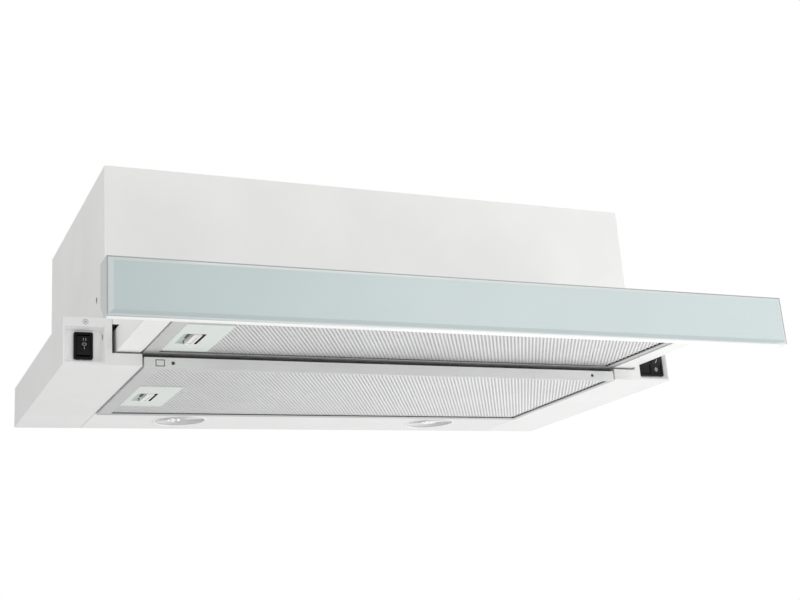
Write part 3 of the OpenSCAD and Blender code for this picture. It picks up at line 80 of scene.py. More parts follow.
def oval(across: float, up: float, sides: int, start: float = 0.0) -> list[tuple[float, float]]:
    """Lists the corners of an oval round (0, 0).

    Args:
        across: Half its width.
        up: Half its height.
        sides: Number of its corners.
        start: Angle of the first corner, in degrees.

    Returns:
        The corners in order.
    """
    turns = [math.radians(start) + 2 * math.pi * i / sides for i in range(sides)]
    return [(across * math.cos(a), up * math.sin(a)) for a in turns]


# ---------------------------------------------------------------- finishes


class NodeBoard:
    """The shader nodes of one material, placed and joined by short calls."""

    # Where a noise's values mostly lie
    NOISE_RANGE = (0.3, 0.7)
    BUMP_STRENGTH = 0.6

    def __init__(self, name: str) -> None:
        """Starts a material with an empty board and its output.

        Args:
            name: Name of the material.
        """
        self.material = bpy.data.materials.new(name)
        self.material.use_nodes = True
        self.tree = self.material.node_tree
        self.tree.nodes.clear()
        self.shader = self.tree.nodes.new("ShaderNodeBsdfPrincipled")
        out = self.tree.nodes.new("ShaderNodeOutputMaterial")
        self.join(self.shader.outputs["BSDF"], out.inputs["Surface"])

    def join(self, source: bpy.types.NodeSocket, target: bpy.types.NodeSocket) -> None:
        """Joins an output to an input."""
        self.tree.links.new(source, target)

    def place(self, scale: Triple) -> bpy.types.NodeSocket:
        """Gives the piece's own coordinates in millimetres, stretched by scale.

        Args:
            scale: Factor on each axis; a small one draws the pattern out.

        Returns:
            The socket that carries the coordinates.
        """
        where = self.tree.nodes.new("ShaderNodeTexCoord")
        stretch = self.tree.nodes.new("ShaderNodeMapping")
        stretch.inputs["Scale"].default_value = [s / MM for s in scale]
        self.join(where.outputs["Object"], stretch.inputs["Vector"])
        return stretch.outputs["Vector"]

    def noise(self, where: bpy.types.NodeSocket, size: float, detail: float = 3.0) -> bpy.types.NodeSocket:
        """Adds a noise whose grains are about size millimetres wide.

        Args:
            where: Coordinates in millimetres.
            size: Width of a grain.
            detail: How much finer noise lies on the coarse one.

        Returns:
            The socket with the noise, from 0 to 1.
        """
        node = self.tree.nodes.new("ShaderNodeTexNoise")
        node.inputs["Scale"].default_value = 1.0 / size
        node.inputs["Detail"].default_value = detail
        self.join(where, node.inputs["Vector"])
        return node.outputs["Fac"]

    def between(self, value: bpy.types.NodeSocket, low: float, high: float) -> bpy.types.NodeSocket:
        """Maps a noise's middle range to values between low and high.

        Args:
            value: A noise from 0 to 1.
            low: The lowest result.
            high: The highest result.

        Returns:
            The socket with the mapped value.
        """
        node = self.tree.nodes.new("ShaderNodeMapRange")
        for name, number in zip(RANGE_SOCKETS, (*self.NOISE_RANGE, low, high)):
            node.inputs[name].default_value = number
        self.join(value, node.inputs["Value"])
        return node.outputs["Result"]

    def tint(self, value: bpy.types.NodeSocket, dark: Triple, light: Triple) -> bpy.types.NodeSocket:
        """Turns a value from 0 to 1 into a colour between two others.

        Args:
            value: The value that chooses.
            dark: Colour at 0.
            light: Colour at 1.

        Returns:
            The socket with the colour.
        """
        node = self.tree.nodes.new("ShaderNodeMix")
        node.data_type = "RGBA"
        node.inputs["A"].default_value = (*dark, 1.0)
        node.inputs["B"].default_value = (*light, 1.0)
        self.join(value, node.inputs["Factor"])
        return node.outputs["Result"]

    def bump(self, height: bpy.types.NodeSocket, depth: float) -> None:
        """Adds relief to the surface, over what relief it has.

        Args:
            height: The height, from 0 to 1.
            depth: Depth of the relief in millimetres.
        """
        node = self.tree.nodes.new("ShaderNodeBump")
        node.inputs["Strength"].default_value = self.BUMP_STRENGTH
        node.inputs["Distance"].default_value = depth * MM
        self.join(height, node.inputs["Height"])
        target = self.shader.inputs["Normal"]
        if target.links:
            self.join(target.links[0].from_socket, node.inputs["Normal"])
        self.join(node.outputs["Normal"], target)


def shade(colour: Triple, factor: float) -> Triple:
    """Multiplies each channel of a colour by a factor, up to 1."""
    return tuple(min(1.0, c * factor) for c in colour)


@dataclass(frozen=True)
class Finish:
    """A surface with a grain: its colour, gloss and fine relief.

    Attributes:
        name: Name of the material.
        colour: Linear base colour.
        roughness: Middle roughness.
        grain: Width of the surface grain in millimetres.
        relief: Depth of the grain in millimetres.
        stretch: Factor on each axis, small along the direction of rolling.
        tone: Share by which the colour varies from place to place.
        metallic: 1 for bare metal.
        coat: Weight of a clear layer.
        specular: Strength of the reflection under the coat.
    """

    name: str
    colour: Triple
    roughness: float
    grain: float = 0.6
    relief: float = 0.01
    stretch: Triple = (1.0, 1.0, 1.0)
    tone: float = 0.015
    metallic: float = 0.0
    coat: float = 0.0
    specular: float = 0.5

    # Width in millimetres, and detail, of the patches in which the colour varies
    PATCHES = (60.0, 2.0)
    # Share by which the roughness varies with the grain
    SPREAD = 0.15

    def like(self, name: str, colour: Triple, **changes: object) -> "Finish":
        """Gives a finish like this one, with another name and colour."""
        return replace(self, name=name, colour=colour, **changes)

    @cache
    def material(self) -> bpy.types.Material:
        """Builds the material at its first use.

        Returns:
            The material with its nodes.
        """
        board = NodeBoard(self.name)
        shader = board.shader
        shader.inputs["Metallic"].default_value = self.metallic
        shader.inputs["Coat Weight"].default_value = self.coat
        shader.inputs["Specular IOR Level"].default_value = self.specular
        fine = board.noise(board.place(self.stretch), self.grain)
        broad = board.noise(board.place((1.0, 1.0, 1.0)), *self.PATCHES)
        shader.inputs["Base Color"].default_value = (*self.colour, 1.0)
        board.join(board.tint(board.between(broad, 0.0, 1.0), shade(self.colour, 1 - self.tone),
                              shade(self.colour, 1 + self.tone)), shader.inputs["Base Color"])
        smooth, rough = (self.roughness * (1 + turn * self.SPREAD) for turn in (-1, 1))
        board.join(board.between(fine, smooth, rough), shader.inputs["Roughness"])
        board.bump(fine, self.relief)
        return board.material


class Finishes:
    """All finishes of the hood, and which node has which."""

    SHEET = Finish("white_painted_sheet", (0.83, 0.83, 0.82), 0.36, grain=0.9, relief=0.010,
                   stretch=(1.0, 1.0, 0.08), tone=0.02)
    POWDER = Finish("white_powder_coat", (0.84, 0.84, 0.83), 0.38, grain=0.9, relief=0.012)
    PANEL = POWDER.like("matt_powder_coat", (0.78, 0.78, 0.775), roughness=0.5, specular=0.2)
    PROFILE = Finish("bright_white_profile", (0.92, 0.92, 0.91), 0.35, grain=0.9, relief=0.010)
    PLASTIC = Finish("white_moulded_plastic", (0.83, 0.83, 0.82), 0.42, grain=0.35, relief=0.008)
    WING = PLASTIC.like("grey_white_moulded_plastic", (0.79, 0.79, 0.785))
    LATCH = PLASTIC.like("pale_moulded_plastic", (0.70, 0.745, 0.715))
    # Grey painted shade for the latches' finger slopes
    SHADED_SLOPE = PLASTIC.like("shaded_finger_slope", (0.46, 0.50, 0.47), roughness=0.6)
    CAP = Finish("grey_white_end_cap", (0.62, 0.64, 0.64), 0.4, grain=0.4, relief=0.006)
    NYLON = Finish("natural_nylon", (0.80, 0.78, 0.70), 0.5, grain=0.5)
    ZINC = Finish("zinc_plated_steel", (0.60, 0.61, 0.62), 0.32, grain=2.5, tone=0.08, metallic=1.0)
    ENAMEL = Finish("motor_enamel", (0.17, 0.18, 0.20), 0.35, grain=0.8)
    ALUMINIUM = Finish("rolled_aluminium", (0.75, 0.76, 0.75), 0.40, grain=0.5, relief=0.004,
                       stretch=(0.03, 1.0, 1.0), tone=0.03, metallic=0.3)
    UNDERSIDE = ALUMINIUM.like("dull_aluminium", (0.62, 0.63, 0.62), roughness=0.45, stretch=(1.0, 0.03, 1.0))
    # Darker aluminium, painted shade for the filter borders' undersides beside the openings
    SHADED_BORDER = UNDERSIDE.like("shaded_aluminium", (0.50, 0.52, 0.52), metallic=0.2)
    MESH = ALUMINIUM.like("perforated_aluminium", (0.78, 0.78, 0.78), roughness=0.38,
                          stretch=(1.0, 1.0, 1.0), metallic=0.35)
    PAD = Finish("expanded_metal_pad", (0.10, 0.10, 0.10), 0.5, grain=1.3, relief=0.3, tone=0.2, metallic=0.6)
    # Paler copy of the pad, for the lower filter only: painted light, as both filters hold the same pad
    PAD_PAINTED_LIGHTER = PAD.like("expanded_metal_pad_painted_lighter", (0.25, 0.25, 0.25), tone=0.15, metallic=0.5)
    GLASS = Finish("pale_painted_glass", (0.555, 0.64, 0.645), 0.07, grain=220.0, relief=0.0,
                   tone=0.01, coat=1.0, specular=1.0)
    # Painted highlight and shade on the glass's polished edges: a lighter bevel, bottom line and end faces, a
    # darker lower bevel and a dark grey line round the bevel
    GLASS_PAINTED_HIGHLIGHT = Finish("glass_edge_painted_highlight", (0.64, 0.69, 0.68), 0.06, grain=40.0, relief=0.0, coat=0.5)
    GLASS_PAINTED_SHADE = GLASS_PAINTED_HIGHLIGHT.like("glass_edge_painted_shade", (0.49, 0.56, 0.565))
    GLASS_SHADE_LINE = Finish("glass_edge_painted_shade_line", (0.34, 0.37, 0.37), 0.3, grain=40.0, relief=0.0)
    GLASS_SIDE_HIGHLIGHT = GLASS_SHADE_LINE.like("glass_edge_side_painted_highlight", (0.66, 0.68, 0.68))
    # Near-black painted shadow for walls and faces in gaps and recesses where shade falls
    PAINTED_SHADOW = Finish("filter_groove_shadow", (0.05, 0.05, 0.05), 0.6, grain=1.0, relief=0.05)
    # Dark grey painted shadow for the drawer filter's rear wall and the floor of the stamp's recess
    GAP_SHADOW = PAINTED_SHADOW.like("filter_gap_shadow", (0.15, 0.15, 0.15))
    # Grey painted shade for the right wall of the filters' openings and the drawer filter's underside behind
    # its opening
    SHADE_BAND = PAINTED_SHADOW.like("filter_band_painted_shade", (0.66, 0.66, 0.66), relief=0.02)
    LENS = Finish("ribbed_lamp_glass", (0.53, 0.53, 0.53), 0.12, grain=3.0, relief=0.03, coat=0.6)
    # Near-white diodes: partly their own pale colour, partly painted glint
    DIODE_GLINT = Finish("lamp_diode_painted_glint", (0.95, 0.95, 0.93), 0.2, grain=1.0, relief=0.01, coat=1.0)
    HOUSING = Finish("lamp_housing", (0.35, 0.35, 0.36), 0.4, metallic=1.0)
    DARK = Finish("dark_moulded_plastic", (0.03, 0.032, 0.035), 0.45, grain=0.5)
    GREY = DARK.like("grey_moulded_plastic", (0.21, 0.23, 0.24))
    BLACK = Finish("black_grained_plastic", (0.006, 0.006, 0.007), 0.4, grain=0.4, specular=0.15)
    RED = Finish("red_moulded_plastic", (0.42, 0.01, 0.01), 0.3, grain=0.5)
    MARK = Finish("printed_white", (0.75, 0.75, 0.75), 0.5, grain=0.5, relief=0.002)
    DIM_MARK = MARK.like("printed_grey", (0.30, 0.31, 0.31))
    FLOOR = Finish("pale_floor", (0.82, 0.82, 0.82), 0.8, grain=8.0, relief=0.05)

    SLOTS = {
        "white_paint": POWDER, "white_plastic": PLASTIC, "nylon": NYLON, "zinc_steel": ZINC,
        "motor_steel": ENAMEL, "aluminium": ALUMINIUM, "pale_glass": GLASS, "lamp_glass": LENS,
        "lamp_housing": HOUSING, "dark_plastic": DARK, "grey_plastic": GREY,
        "black_plastic": BLACK, "red_plastic": RED,
    }
    # Nodes whose finish isn't their slot's usual one
    SPECIAL = {
        "casing_shell": SHEET, "casing_back": SHEET, "left_panel_cap": CAP, "right_panel_cap": CAP,
        "lamp_panel": PANEL, "left_wing": WING, "right_wing": WING,
        "base_latch_plate": LATCH, "drawer_latch_plate": LATCH, "panel_backing": PROFILE,
        "base_filter_pad": PAD_PAINTED_LIGHTER, "drawer_filter_pad": PAD,
        "base_filter_upper_mesh": MESH, "drawer_filter_upper_mesh": MESH,
    }

    @classmethod
    def of_node(cls, node: str) -> Finish:
        """Gives the finish of a CAD node: its own, or that of its slot in the record."""
        return cls.SPECIAL.get(node) or cls.SLOTS[SLOT_OF[node]]

    @classmethod
    def dress_frame(cls) -> None:
        """Gives every CAD node its finish."""
        for node, thing in frame["nodes"].items():
            thing.data.materials.clear()
            thing.data.materials.append(cls.of_node(node).material())


# ---------------------------------------------------------------- studio


@dataclass(frozen=True)
class PhotoCamera:
    """The camera at the photograph's place and angle.

    Attributes:
        place: Position in hood millimetres.
        yaw: Turn to the right, in degrees.
        pitch: Tilt upwards, in degrees.
        roll: Turn about the view direction, in degrees.
        focal_px: Focal length in pixels of an 800 pixel wide picture.
        centre_px: Where the view direction meets the picture.
        clip: Nearest and farthest distance that is seen, in metres.
    """

    place: Triple = (-468.6, -989.9, -240.4)
    yaw: float = -25.13
    pitch: float = 16.85
    roll: float = -4.17
    focal_px: float = 1234.0
    centre_px: tuple[float, float] = (387.7, 277.4)
    clip: tuple[float, float] = (0.01, 60.0)

    def build(self) -> None:
        """Makes the scene's camera."""
        wide, high, sensor = 800.0, 600.0, 36.0
        yaw, pitch, roll = (math.radians(a) for a in (self.yaw, self.pitch, self.roll))
        ahead = Vector((math.sin(-yaw) * math.cos(pitch), math.cos(-yaw) * math.cos(pitch), math.sin(pitch)))
        level = Vector((math.cos(-yaw), -math.sin(-yaw), 0.0))
        upright = level.cross(ahead)
        right = level * math.cos(roll) + upright * math.sin(roll)
        up = upright * math.cos(roll) - level * math.sin(roll)
        data = bpy.data.cameras.new("photo_camera")
        data.sensor_width = sensor
        data.lens = self.focal_px * sensor / wide
        data.shift_x = (wide / 2 - self.centre_px[0]) / wide
        data.shift_y = (self.centre_px[1] - high / 2) / wide
        data.clip_start, data.clip_end = self.clip
        camera = bpy.data.objects.new("photo_camera", data)
        axes = Matrix((right, up, -ahead)).transposed().to_4x4()
        camera.matrix_world = Matrix.Translation(at(*self.place)) @ axes
        bpy.context.scene.collection.objects.link(camera)
        bpy.context.scene.camera = camera


@dataclass(frozen=True)
class Softbox:
    """A square lamp that points at the hood.

    Attributes:
        name: Name of the lamp.
        place: Position in metres from the part's origin.
        width: Side of the square in metres.
        power: Power in watts.
        aim: The point that it faces.
    """

    name: str
    place: Triple
    width: float
    power: float
    aim: Triple = (0.0, 0.0, -0.1)

    def build(self) -> None:
        """Hangs the lamp and turns it to its aim."""
        data = bpy.data.lights.new(self.name, "AREA")
        data.size = self.width
        data.energy = self.power
        lamp = bpy.data.objects.new(self.name, data)
        lamp.location = self.place
        lamp.rotation_euler = (Vector(self.aim) - Vector(self.place)).to_track_quat("-Z", "Y").to_euler()
        bpy.context.scene.collection.objects.link(lamp)


@dataclass
class Studio:
    """The pale floor, the white surroundings and the lamps.

    Attributes:
        floor_drop: Distance of the floor under the part's origin, in metres.
        floor_size: Side of the square floor, in metres.
        ambient: Strength of the light from all round.
        gloss: Strength of what metal and glass mirror, to the left and to the right.
        gloss_span: Sideways parts of the directions between which that changes.
        boxes: The lamps.
    """

    floor_drop: float = 1.8
    floor_size: float = 30.0
    ambient: float = 0.77
    gloss: tuple[float, float] = (0.3, 1.2)
    gloss_span: tuple[float, float] = (0.2, 0.45)
    boxes: list[Softbox] = field(default_factory=lambda: [
        Softbox("key_softbox", (0.9, -1.9, 1.5), 1.4, 10.0),
        Softbox("right_softbox", (1.6, -1.3, -0.35), 0.6, 2.7, (0.3, -0.2, -0.15)),
        Softbox("near_softbox", (1.1, -0.95, -0.75), 0.6, 3.5, (0.25, -0.25, -0.16)),
        Softbox("left_softbox", (-1.7, -0.3, 0.9), 0.8, 7.0),
        Softbox("low_softbox", (0.0, -0.1, -1.4), 2.0, 8.2, (0.0, -0.1, 0.0)),
    ])

    def build(self) -> None:
        """Makes the surroundings."""
        world = bpy.data.worlds.new("pale_studio")
        bpy.context.scene.world = world
        world.use_nodes = True
        self._light_from_all_round(world.node_tree)
        Workbench.clear()
        bpy.ops.mesh.primitive_plane_add(size=self.floor_size, location=(0.0, 0.0, -self.floor_drop))
        floor = bpy.context.object
        floor.name = "floor"
        floor.visible_glossy = False
        floor.data.materials.append(Finishes.FLOOR.material())
        for box in self.boxes:
            box.build()
        bpy.context.scene.view_settings.view_transform = "Standard"

    def _light_from_all_round(self, tree: bpy.types.NodeTree) -> None:
        """Makes surroundings that are white where seen, and whiter to the right where mirrored.

        Args:
            tree: The world's node tree.
        """
        tree.nodes.clear()
        kinds = ("LightPath", "TexCoord", "SeparateXYZ", "MapRange", "Math", "Background", "OutputWorld")
        ray, where, axes, grade, either, light, out = (tree.nodes.new(f"ShaderNode{kind}") for kind in kinds)
        for name, value in zip(RANGE_SOCKETS, (*self.gloss_span, *self.gloss)):
            grade.inputs[name].default_value = value
        either.operation = "MAXIMUM"
        light.inputs["Color"].default_value = (1.0, 1.0, 1.0, 1.0)
        tree.links.new(where.outputs["Generated"], axes.inputs[0])
        tree.links.new(axes.outputs["X"], grade.inputs["Value"])
        tree.links.new(ray.outputs["Is Camera Ray"], either.inputs[0])
        tree.links.new(ray.outputs["Is Transmission Ray"], either.inputs[1])
        mirrored = self._choose(tree, ray.outputs["Is Glossy Ray"], self.ambient, grade.outputs["Result"])
        shown = self._choose(tree, either.outputs[0], mirrored, 1.0)
        tree.links.new(shown, light.inputs["Strength"])
        tree.links.new(light.outputs[0], out.inputs["Surface"])

    @staticmethod
    def _choose(tree: bpy.types.NodeTree, test: bpy.types.NodeSocket, no: bpy.types.NodeSocket | float,
                yes: bpy.types.NodeSocket | float) -> bpy.types.NodeSocket:
        """Adds a node that gives one of two values.

        Args:
            tree: The node tree.
            test: A socket that is 0 or 1.
            no: The value or socket for 0.
            yes: The value or socket for 1.

        Returns:
            The socket with the chosen value.
        """
        node = tree.nodes.new("ShaderNodeMix")
        tree.links.new(test, node.inputs["Factor"])
        for socket, value in ((node.inputs["A"], no), (node.inputs["B"], yes)):
            if isinstance(value, float):
                socket.default_value = value
            else:
                tree.links.new(value, socket)
        return node.outputs["Result"]


# ---------------------------------------------------------------- workbench


class Side(Enum):
    """The left or right end of the hood, as seen from its front."""

    LEFT = -1
    RIGHT = 1


class Workbench:
    """Modelling tools, used as by hand, on pieces that are in hood millimetres until they are finished."""

    # Least angle of an edge that is rounded, and greatest of one that is shaded smooth, in degrees
    ROUNDED, SMOOTH = 35, 32
    # Thickness of a printed mark
    INK = 0.05

    @staticmethod
    def clear() -> None:
        """Leaves edit mode and deselects everything."""
        if bpy.context.object and bpy.context.object.mode != "OBJECT":
            bpy.ops.object.mode_set(mode="OBJECT")
        bpy.ops.object.select_all(action="DESELECT")

    @classmethod
    def hold(cls, piece: bpy.types.Object) -> None:
        """Selects one object alone and makes it the active one.

        Args:
            piece: The object.
        """
        cls.clear()
        piece.select_set(True)
        bpy.context.view_layer.objects.active = piece

    @classmethod
    @contextmanager
    def editing(cls, piece: bpy.types.Object, mode: str = "FACE", whole: bool = False) -> Iterator[None]:
        """Opens a piece in edit mode, and closes it after.

        Args:
            piece: The piece to edit.
            mode: VERT, EDGE or FACE.
            whole: Whether all of it is selected at first, or nothing.
        """
        cls.hold(piece)
        bpy.ops.object.mode_set(mode="EDIT")
        bpy.ops.mesh.select_mode(type=mode)
        bpy.ops.mesh.select_all(action="SELECT" if whole else "DESELECT")
        yield
        bpy.ops.object.mode_set(mode="OBJECT")

    @classmethod
    def block(cls, low: Triple, high: Triple) -> bpy.types.Object:
        """Makes a block from its low and high corners.

        Args:
            low: Lowest corner.
            high: Highest corner.

        Returns:
            The block.
        """
        cls.clear()
        bpy.ops.mesh.primitive_cube_add(size=1.0, location=[(a + b) / 2 for a, b in zip(low, high)])
        bpy.ops.transform.resize(value=[b - a for a, b in zip(low, high)])
        bpy.ops.object.transform_apply()
        return bpy.context.object

    @classmethod
    def disc(cls, middle: Triple, radius: float, sides: int) -> bpy.types.Object:
        """Lays a filled circle that faces up.

        Args:
            middle: Its centre.
            radius: Its radius.
            sides: Number of its corners.

        Returns:
            The circle.
        """
        cls.clear()
        bpy.ops.mesh.primitive_circle_add(vertices=sides, radius=radius, fill_type="NGON", location=middle)
        bpy.ops.object.transform_apply()
        return bpy.context.object

    @classmethod
    def outline(cls, points: Sequence[Triple]) -> bpy.types.Object:
        """Lays a filled circle with one corner for each point and moves each corner to its point.

        Args:
            points: The corners in order.

        Returns:
            The flat face.
        """
        piece = cls.disc((0.0, 0.0, 0.0), 1.0, len(points))
        for corner, point in zip(piece.data.vertices, points):
            corner.co = point
        return piece

    @staticmethod
    @contextmanager
    def choosing() -> Iterator[bmesh.types.BMesh]:
        """Opens the mesh that is edited, to select its parts one by one, and shows the choice after.

        Yields:
            The mesh.
        """
        mesh = bmesh.from_edit_mesh(bpy.context.object.data)
        yield mesh
        mesh.select_flush_mode()
        bmesh.update_edit_mesh(bpy.context.object.data)

    @classmethod
    def pick(cls, test: FaceTest) -> None:
        """Selects, in edit mode, the faces whose middle and normal pass a test.

        Args:
            test: The test.
        """
        with cls.choosing() as mesh:
            for face in mesh.faces:
                face.select_set(test(face.calc_center_median(), face.normal))

    @classmethod
    def shift(cls, test: Callable[[Vector], bool], step: Triple) -> None:
        """Moves, in edit mode, the corners whose place passes a test.

        Args:
            test: Says whether a corner at this place is wanted.
            step: How far they go.
        """
        with cls.choosing() as mesh:
            for corner in mesh.verts:
                corner.select_set(test(corner.co))
        bpy.ops.transform.translate(value=step)

    @staticmethod
    def take_all() -> None:
        """Selects, in edit mode, the whole mesh."""
        bpy.ops.mesh.select_all(action="SELECT")

    @staticmethod
    def open_slots(piece: bpy.types.Object, count: int) -> None:
        """Gives a piece empty material slots, so that its faces can be told apart."""
        for _ in range(count):
            piece.data.materials.append(None)

    @staticmethod
    def inset(width: float, lift: float = 0.0) -> None:
        """Insets the selected faces and lifts the inner face along its normal."""
        bpy.ops.mesh.inset(thickness=width, depth=lift)

    @staticmethod
    def extrude(step: Triple) -> None:
        """Extrudes the selection and moves it by a step."""
        bpy.ops.mesh.extrude_region_move(TRANSFORM_OT_translate={"value": step})

    @classmethod
    def modify(cls, piece: bpy.types.Object, kind: str, **settings: object) -> None:
        """Adds a modifier to a piece and applies it.

        Args:
            piece: The piece.
            kind: Type of the modifier.
            settings: Its settings.
        """
        modifier = piece.modifiers.new(kind.lower(), kind)
        for key, value in settings.items():
            setattr(modifier, key, value)
        cls.hold(piece)
        bpy.ops.object.modifier_apply(modifier=modifier.name)

    @classmethod
    def soften(cls, piece: bpy.types.Object, width: float, steps: int = 2) -> None:
        """Rounds a piece's edges.

        Args:
            piece: The piece.
            width: Width of the rounding.
            steps: Number of faces across it.
        """
        cls.modify(piece, "BEVEL", width=width, segments=steps, limit_method="ANGLE",
                   angle_limit=math.radians(cls.ROUNDED), use_clamp_overlap=True)

    @classmethod
    def repeat(cls, piece: bpy.types.Object, count: int, step: Triple) -> None:
        """Repeats a piece within its own mesh, count times in all, each a step further."""
        cls.modify(piece, "ARRAY", count=count, use_relative_offset=False, use_constant_offset=True,
                   constant_offset_displace=step)

    @classmethod
    def mark(cls, points: Sequence[Triple], pen: float | None = None) -> bpy.types.Object:
        """Makes a thin printed mark on a face that looks forwards.

        Args:
            points: Its outline, in order.
            pen: Width of its line if it is hollow.

        Returns:
            The mark.
        """
        mark = cls.outline(points)
        with cls.editing(mark, whole=True):
            if pen is not None:
                cls.inset(pen)
                bpy.ops.mesh.delete(type="FACE")
                cls.take_all()
            cls.extrude((0.0, -cls.INK, 0.0))
        return mark

    @classmethod
    def join(cls, pieces: Sequence[bpy.types.Object]) -> bpy.types.Object:
        """Joins several meshes into the first.

        Args:
            pieces: The meshes.

        Returns:
            The joined mesh.
        """
        cls.hold(pieces[0])
        for piece in pieces:
            piece.select_set(True)
        bpy.ops.object.join()
        return pieces[0]

    @classmethod
    def copy(cls, piece: bpy.types.Object, step: Triple) -> bpy.types.Object:
        """Copies a piece with a mesh of its own and moves the copy.

        Args:
            piece: The piece.
            step: Where the copy goes from there.

        Returns:
            The copy.
        """
        cls.hold(piece)
        bpy.ops.object.duplicate(linked=False)
        bpy.ops.transform.translate(value=step)
        bpy.ops.object.transform_apply()
        return bpy.context.object

    @classmethod
    def to_frame(cls, piece: bpy.types.Object) -> None:
        """Turns a piece from hood millimetres into the frame's metres.

        Args:
            piece: The piece.
        """
        cls.hold(piece)
        piece.scale = (MM, MM, MM)
        piece.location = -ORIGIN * MM
        bpy.ops.object.transform_apply()

    @classmethod
    def finish(cls, piece: bpy.types.Object, name: str, body: str, slot: str, looks: Sequence[Finish],
               stands_for: Sequence[str] = ()) -> None:
        """Names and smooths a piece, hangs it on its body and hides the CAD nodes that it replaces.

        Args:
            piece: The piece, already in the frame's metres.
            name: Its name.
            body: The CAD body that it moves with.
            slot: The record's material slot; not used.
            looks: Its finishes; the mesh keeps its faces' choice among them.
            stands_for: CAD nodes that it replaces.
        """
        piece.name = piece.data.name = name
        with cls.editing(piece, whole=True):
            bpy.ops.mesh.normals_make_consistent(inside=False)
        cls.hold(piece)
        bpy.ops.object.shade_smooth_by_angle(angle=math.radians(cls.SMOOTH))
        cls.modify(piece, "WEIGHTED_NORMAL", keep_sharp=True)
        chosen = [face.material_index for face in piece.data.polygons]
        piece.data.materials.clear()
        for look in looks:
            piece.data.materials.append(look.material())
        piece.data.polygons.foreach_set("material_index", chosen)
        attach(piece, body)
        if stands_for:
            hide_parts(*stands_for)
        log.info("%s: %d faces on %s", name, len(piece.data.polygons), body)


# ---------------------------------------------------------------- pieces

# A finish and the test of the faces that have it
Rule = tuple[Finish, FaceTest]
# A face looks along an axis where its normal's part along it is more than this
FACING = 0.5


@dataclass
class SoftenedNode:
    """A CAD node as a finished piece: a merged copy of its mesh with its edges rounded.

    Attributes:
        node: Name of the CAD node.
        rounding: Width of the rounding in millimetres.
    """

    node: str
    rounding: float

    # Distance within which corners are merged, and angle within which faces are one, in degrees
    MERGED, FLAT = 0.01, 0.5
    # How far a face's middle may be from where a rule looks for it, and a cut lies past a rounded edge
    NEAR, PAST = 0.3, 0.4

    def build(self) -> None:
        """Makes the piece."""
        source = frame["nodes"][self.node]
        piece = bpy.data.objects.new(f"{self.node}_softened", source.data.copy())
        bpy.context.scene.collection.objects.link(piece)
        Workbench.hold(piece)
        if piece.data.has_custom_normals:
            bpy.ops.mesh.customdata_custom_splitnormals_clear()
        with Workbench.editing(piece, "VERT", whole=True):
            bpy.ops.mesh.remove_doubles(threshold=self.MERGED * MM)
            bpy.ops.mesh.dissolve_limited(angle_limit=math.radians(self.FLAT))
            self.trim()
        Workbench.soften(piece, self.rounding * MM)
        with Workbench.editing(piece):
            for point, normal in self.cuts():
                Workbench.take_all()
                bpy.ops.mesh.bisect(plane_co=point, plane_no=normal)
        rules = self.rules()
        Workbench.open_slots(piece, len(rules) + 1)
        for face in piece.data.polygons:
            middle = face.center / MM + ORIGIN
            fitting = (i for i, (_, test) in enumerate(rules, 1) if test(middle, face.normal))
            face.material_index = next(fitting, 0)
        Workbench.finish(piece, f"{self.node}_softened", BODY_OF[self.node], SLOT_OF[self.node],
                         [Finishes.of_node(self.node), *(look for look, _ in rules)], [self.node])

    def trim(self) -> None:
        """Changes the merged mesh, in edit mode, before its edges are rounded."""

    def cuts(self) -> list[tuple[Vector, Triple]]:
        """Lists the planes, by point and normal, that part faces of different finishes."""
        return []

    def rules(self) -> list[Rule]:
        """Lists the finishes of faces that don't have the node's own; the first that fits a face is used."""
        return []


@dataclass
class ClosingPiece(SoftenedNode):
    """A piece of the drawer's panel, which stays just clear of the hood's front when the drawer is shut.

    Attributes:
        back: Place of its rear face.
        gap: Distance that is left.
    """

    back: float = -150.0
    gap: float = 0.12

    # How far a corner may be from the rear face
    LEVEL = 0.05

    def trim(self) -> None:
        """Moves the rear face forwards by the gap."""
        plane = at(0.0, self.back, 0.0).y
        Workbench.shift(lambda place: abs(place.y - plane) < self.LEVEL * MM, (0.0, -self.gap * MM, 0.0))


@dataclass(frozen=True)
class GreaseFilter:
    """What the pieces of one grease filter share.

    Attributes:
        body: Its body, whose name starts the names of its nodes.
        front: Place of its front.
        low: Height of its underside.
        back: Place of the opening's rear edge.
        plate: Distance of the latch's plate behind the front.
        left: Place of its left edge.
        reach: Distance of the grip's middle behind the plate's front.
    """

    body: str
    front: float
    low: float
    back: float
    plate: float
    left: float = -232.5
    reach: float = 43.5

    @property
    def grip(self) -> float:
        """Place of the middle of the latch's grip."""
        return self.front + self.plate + self.reach


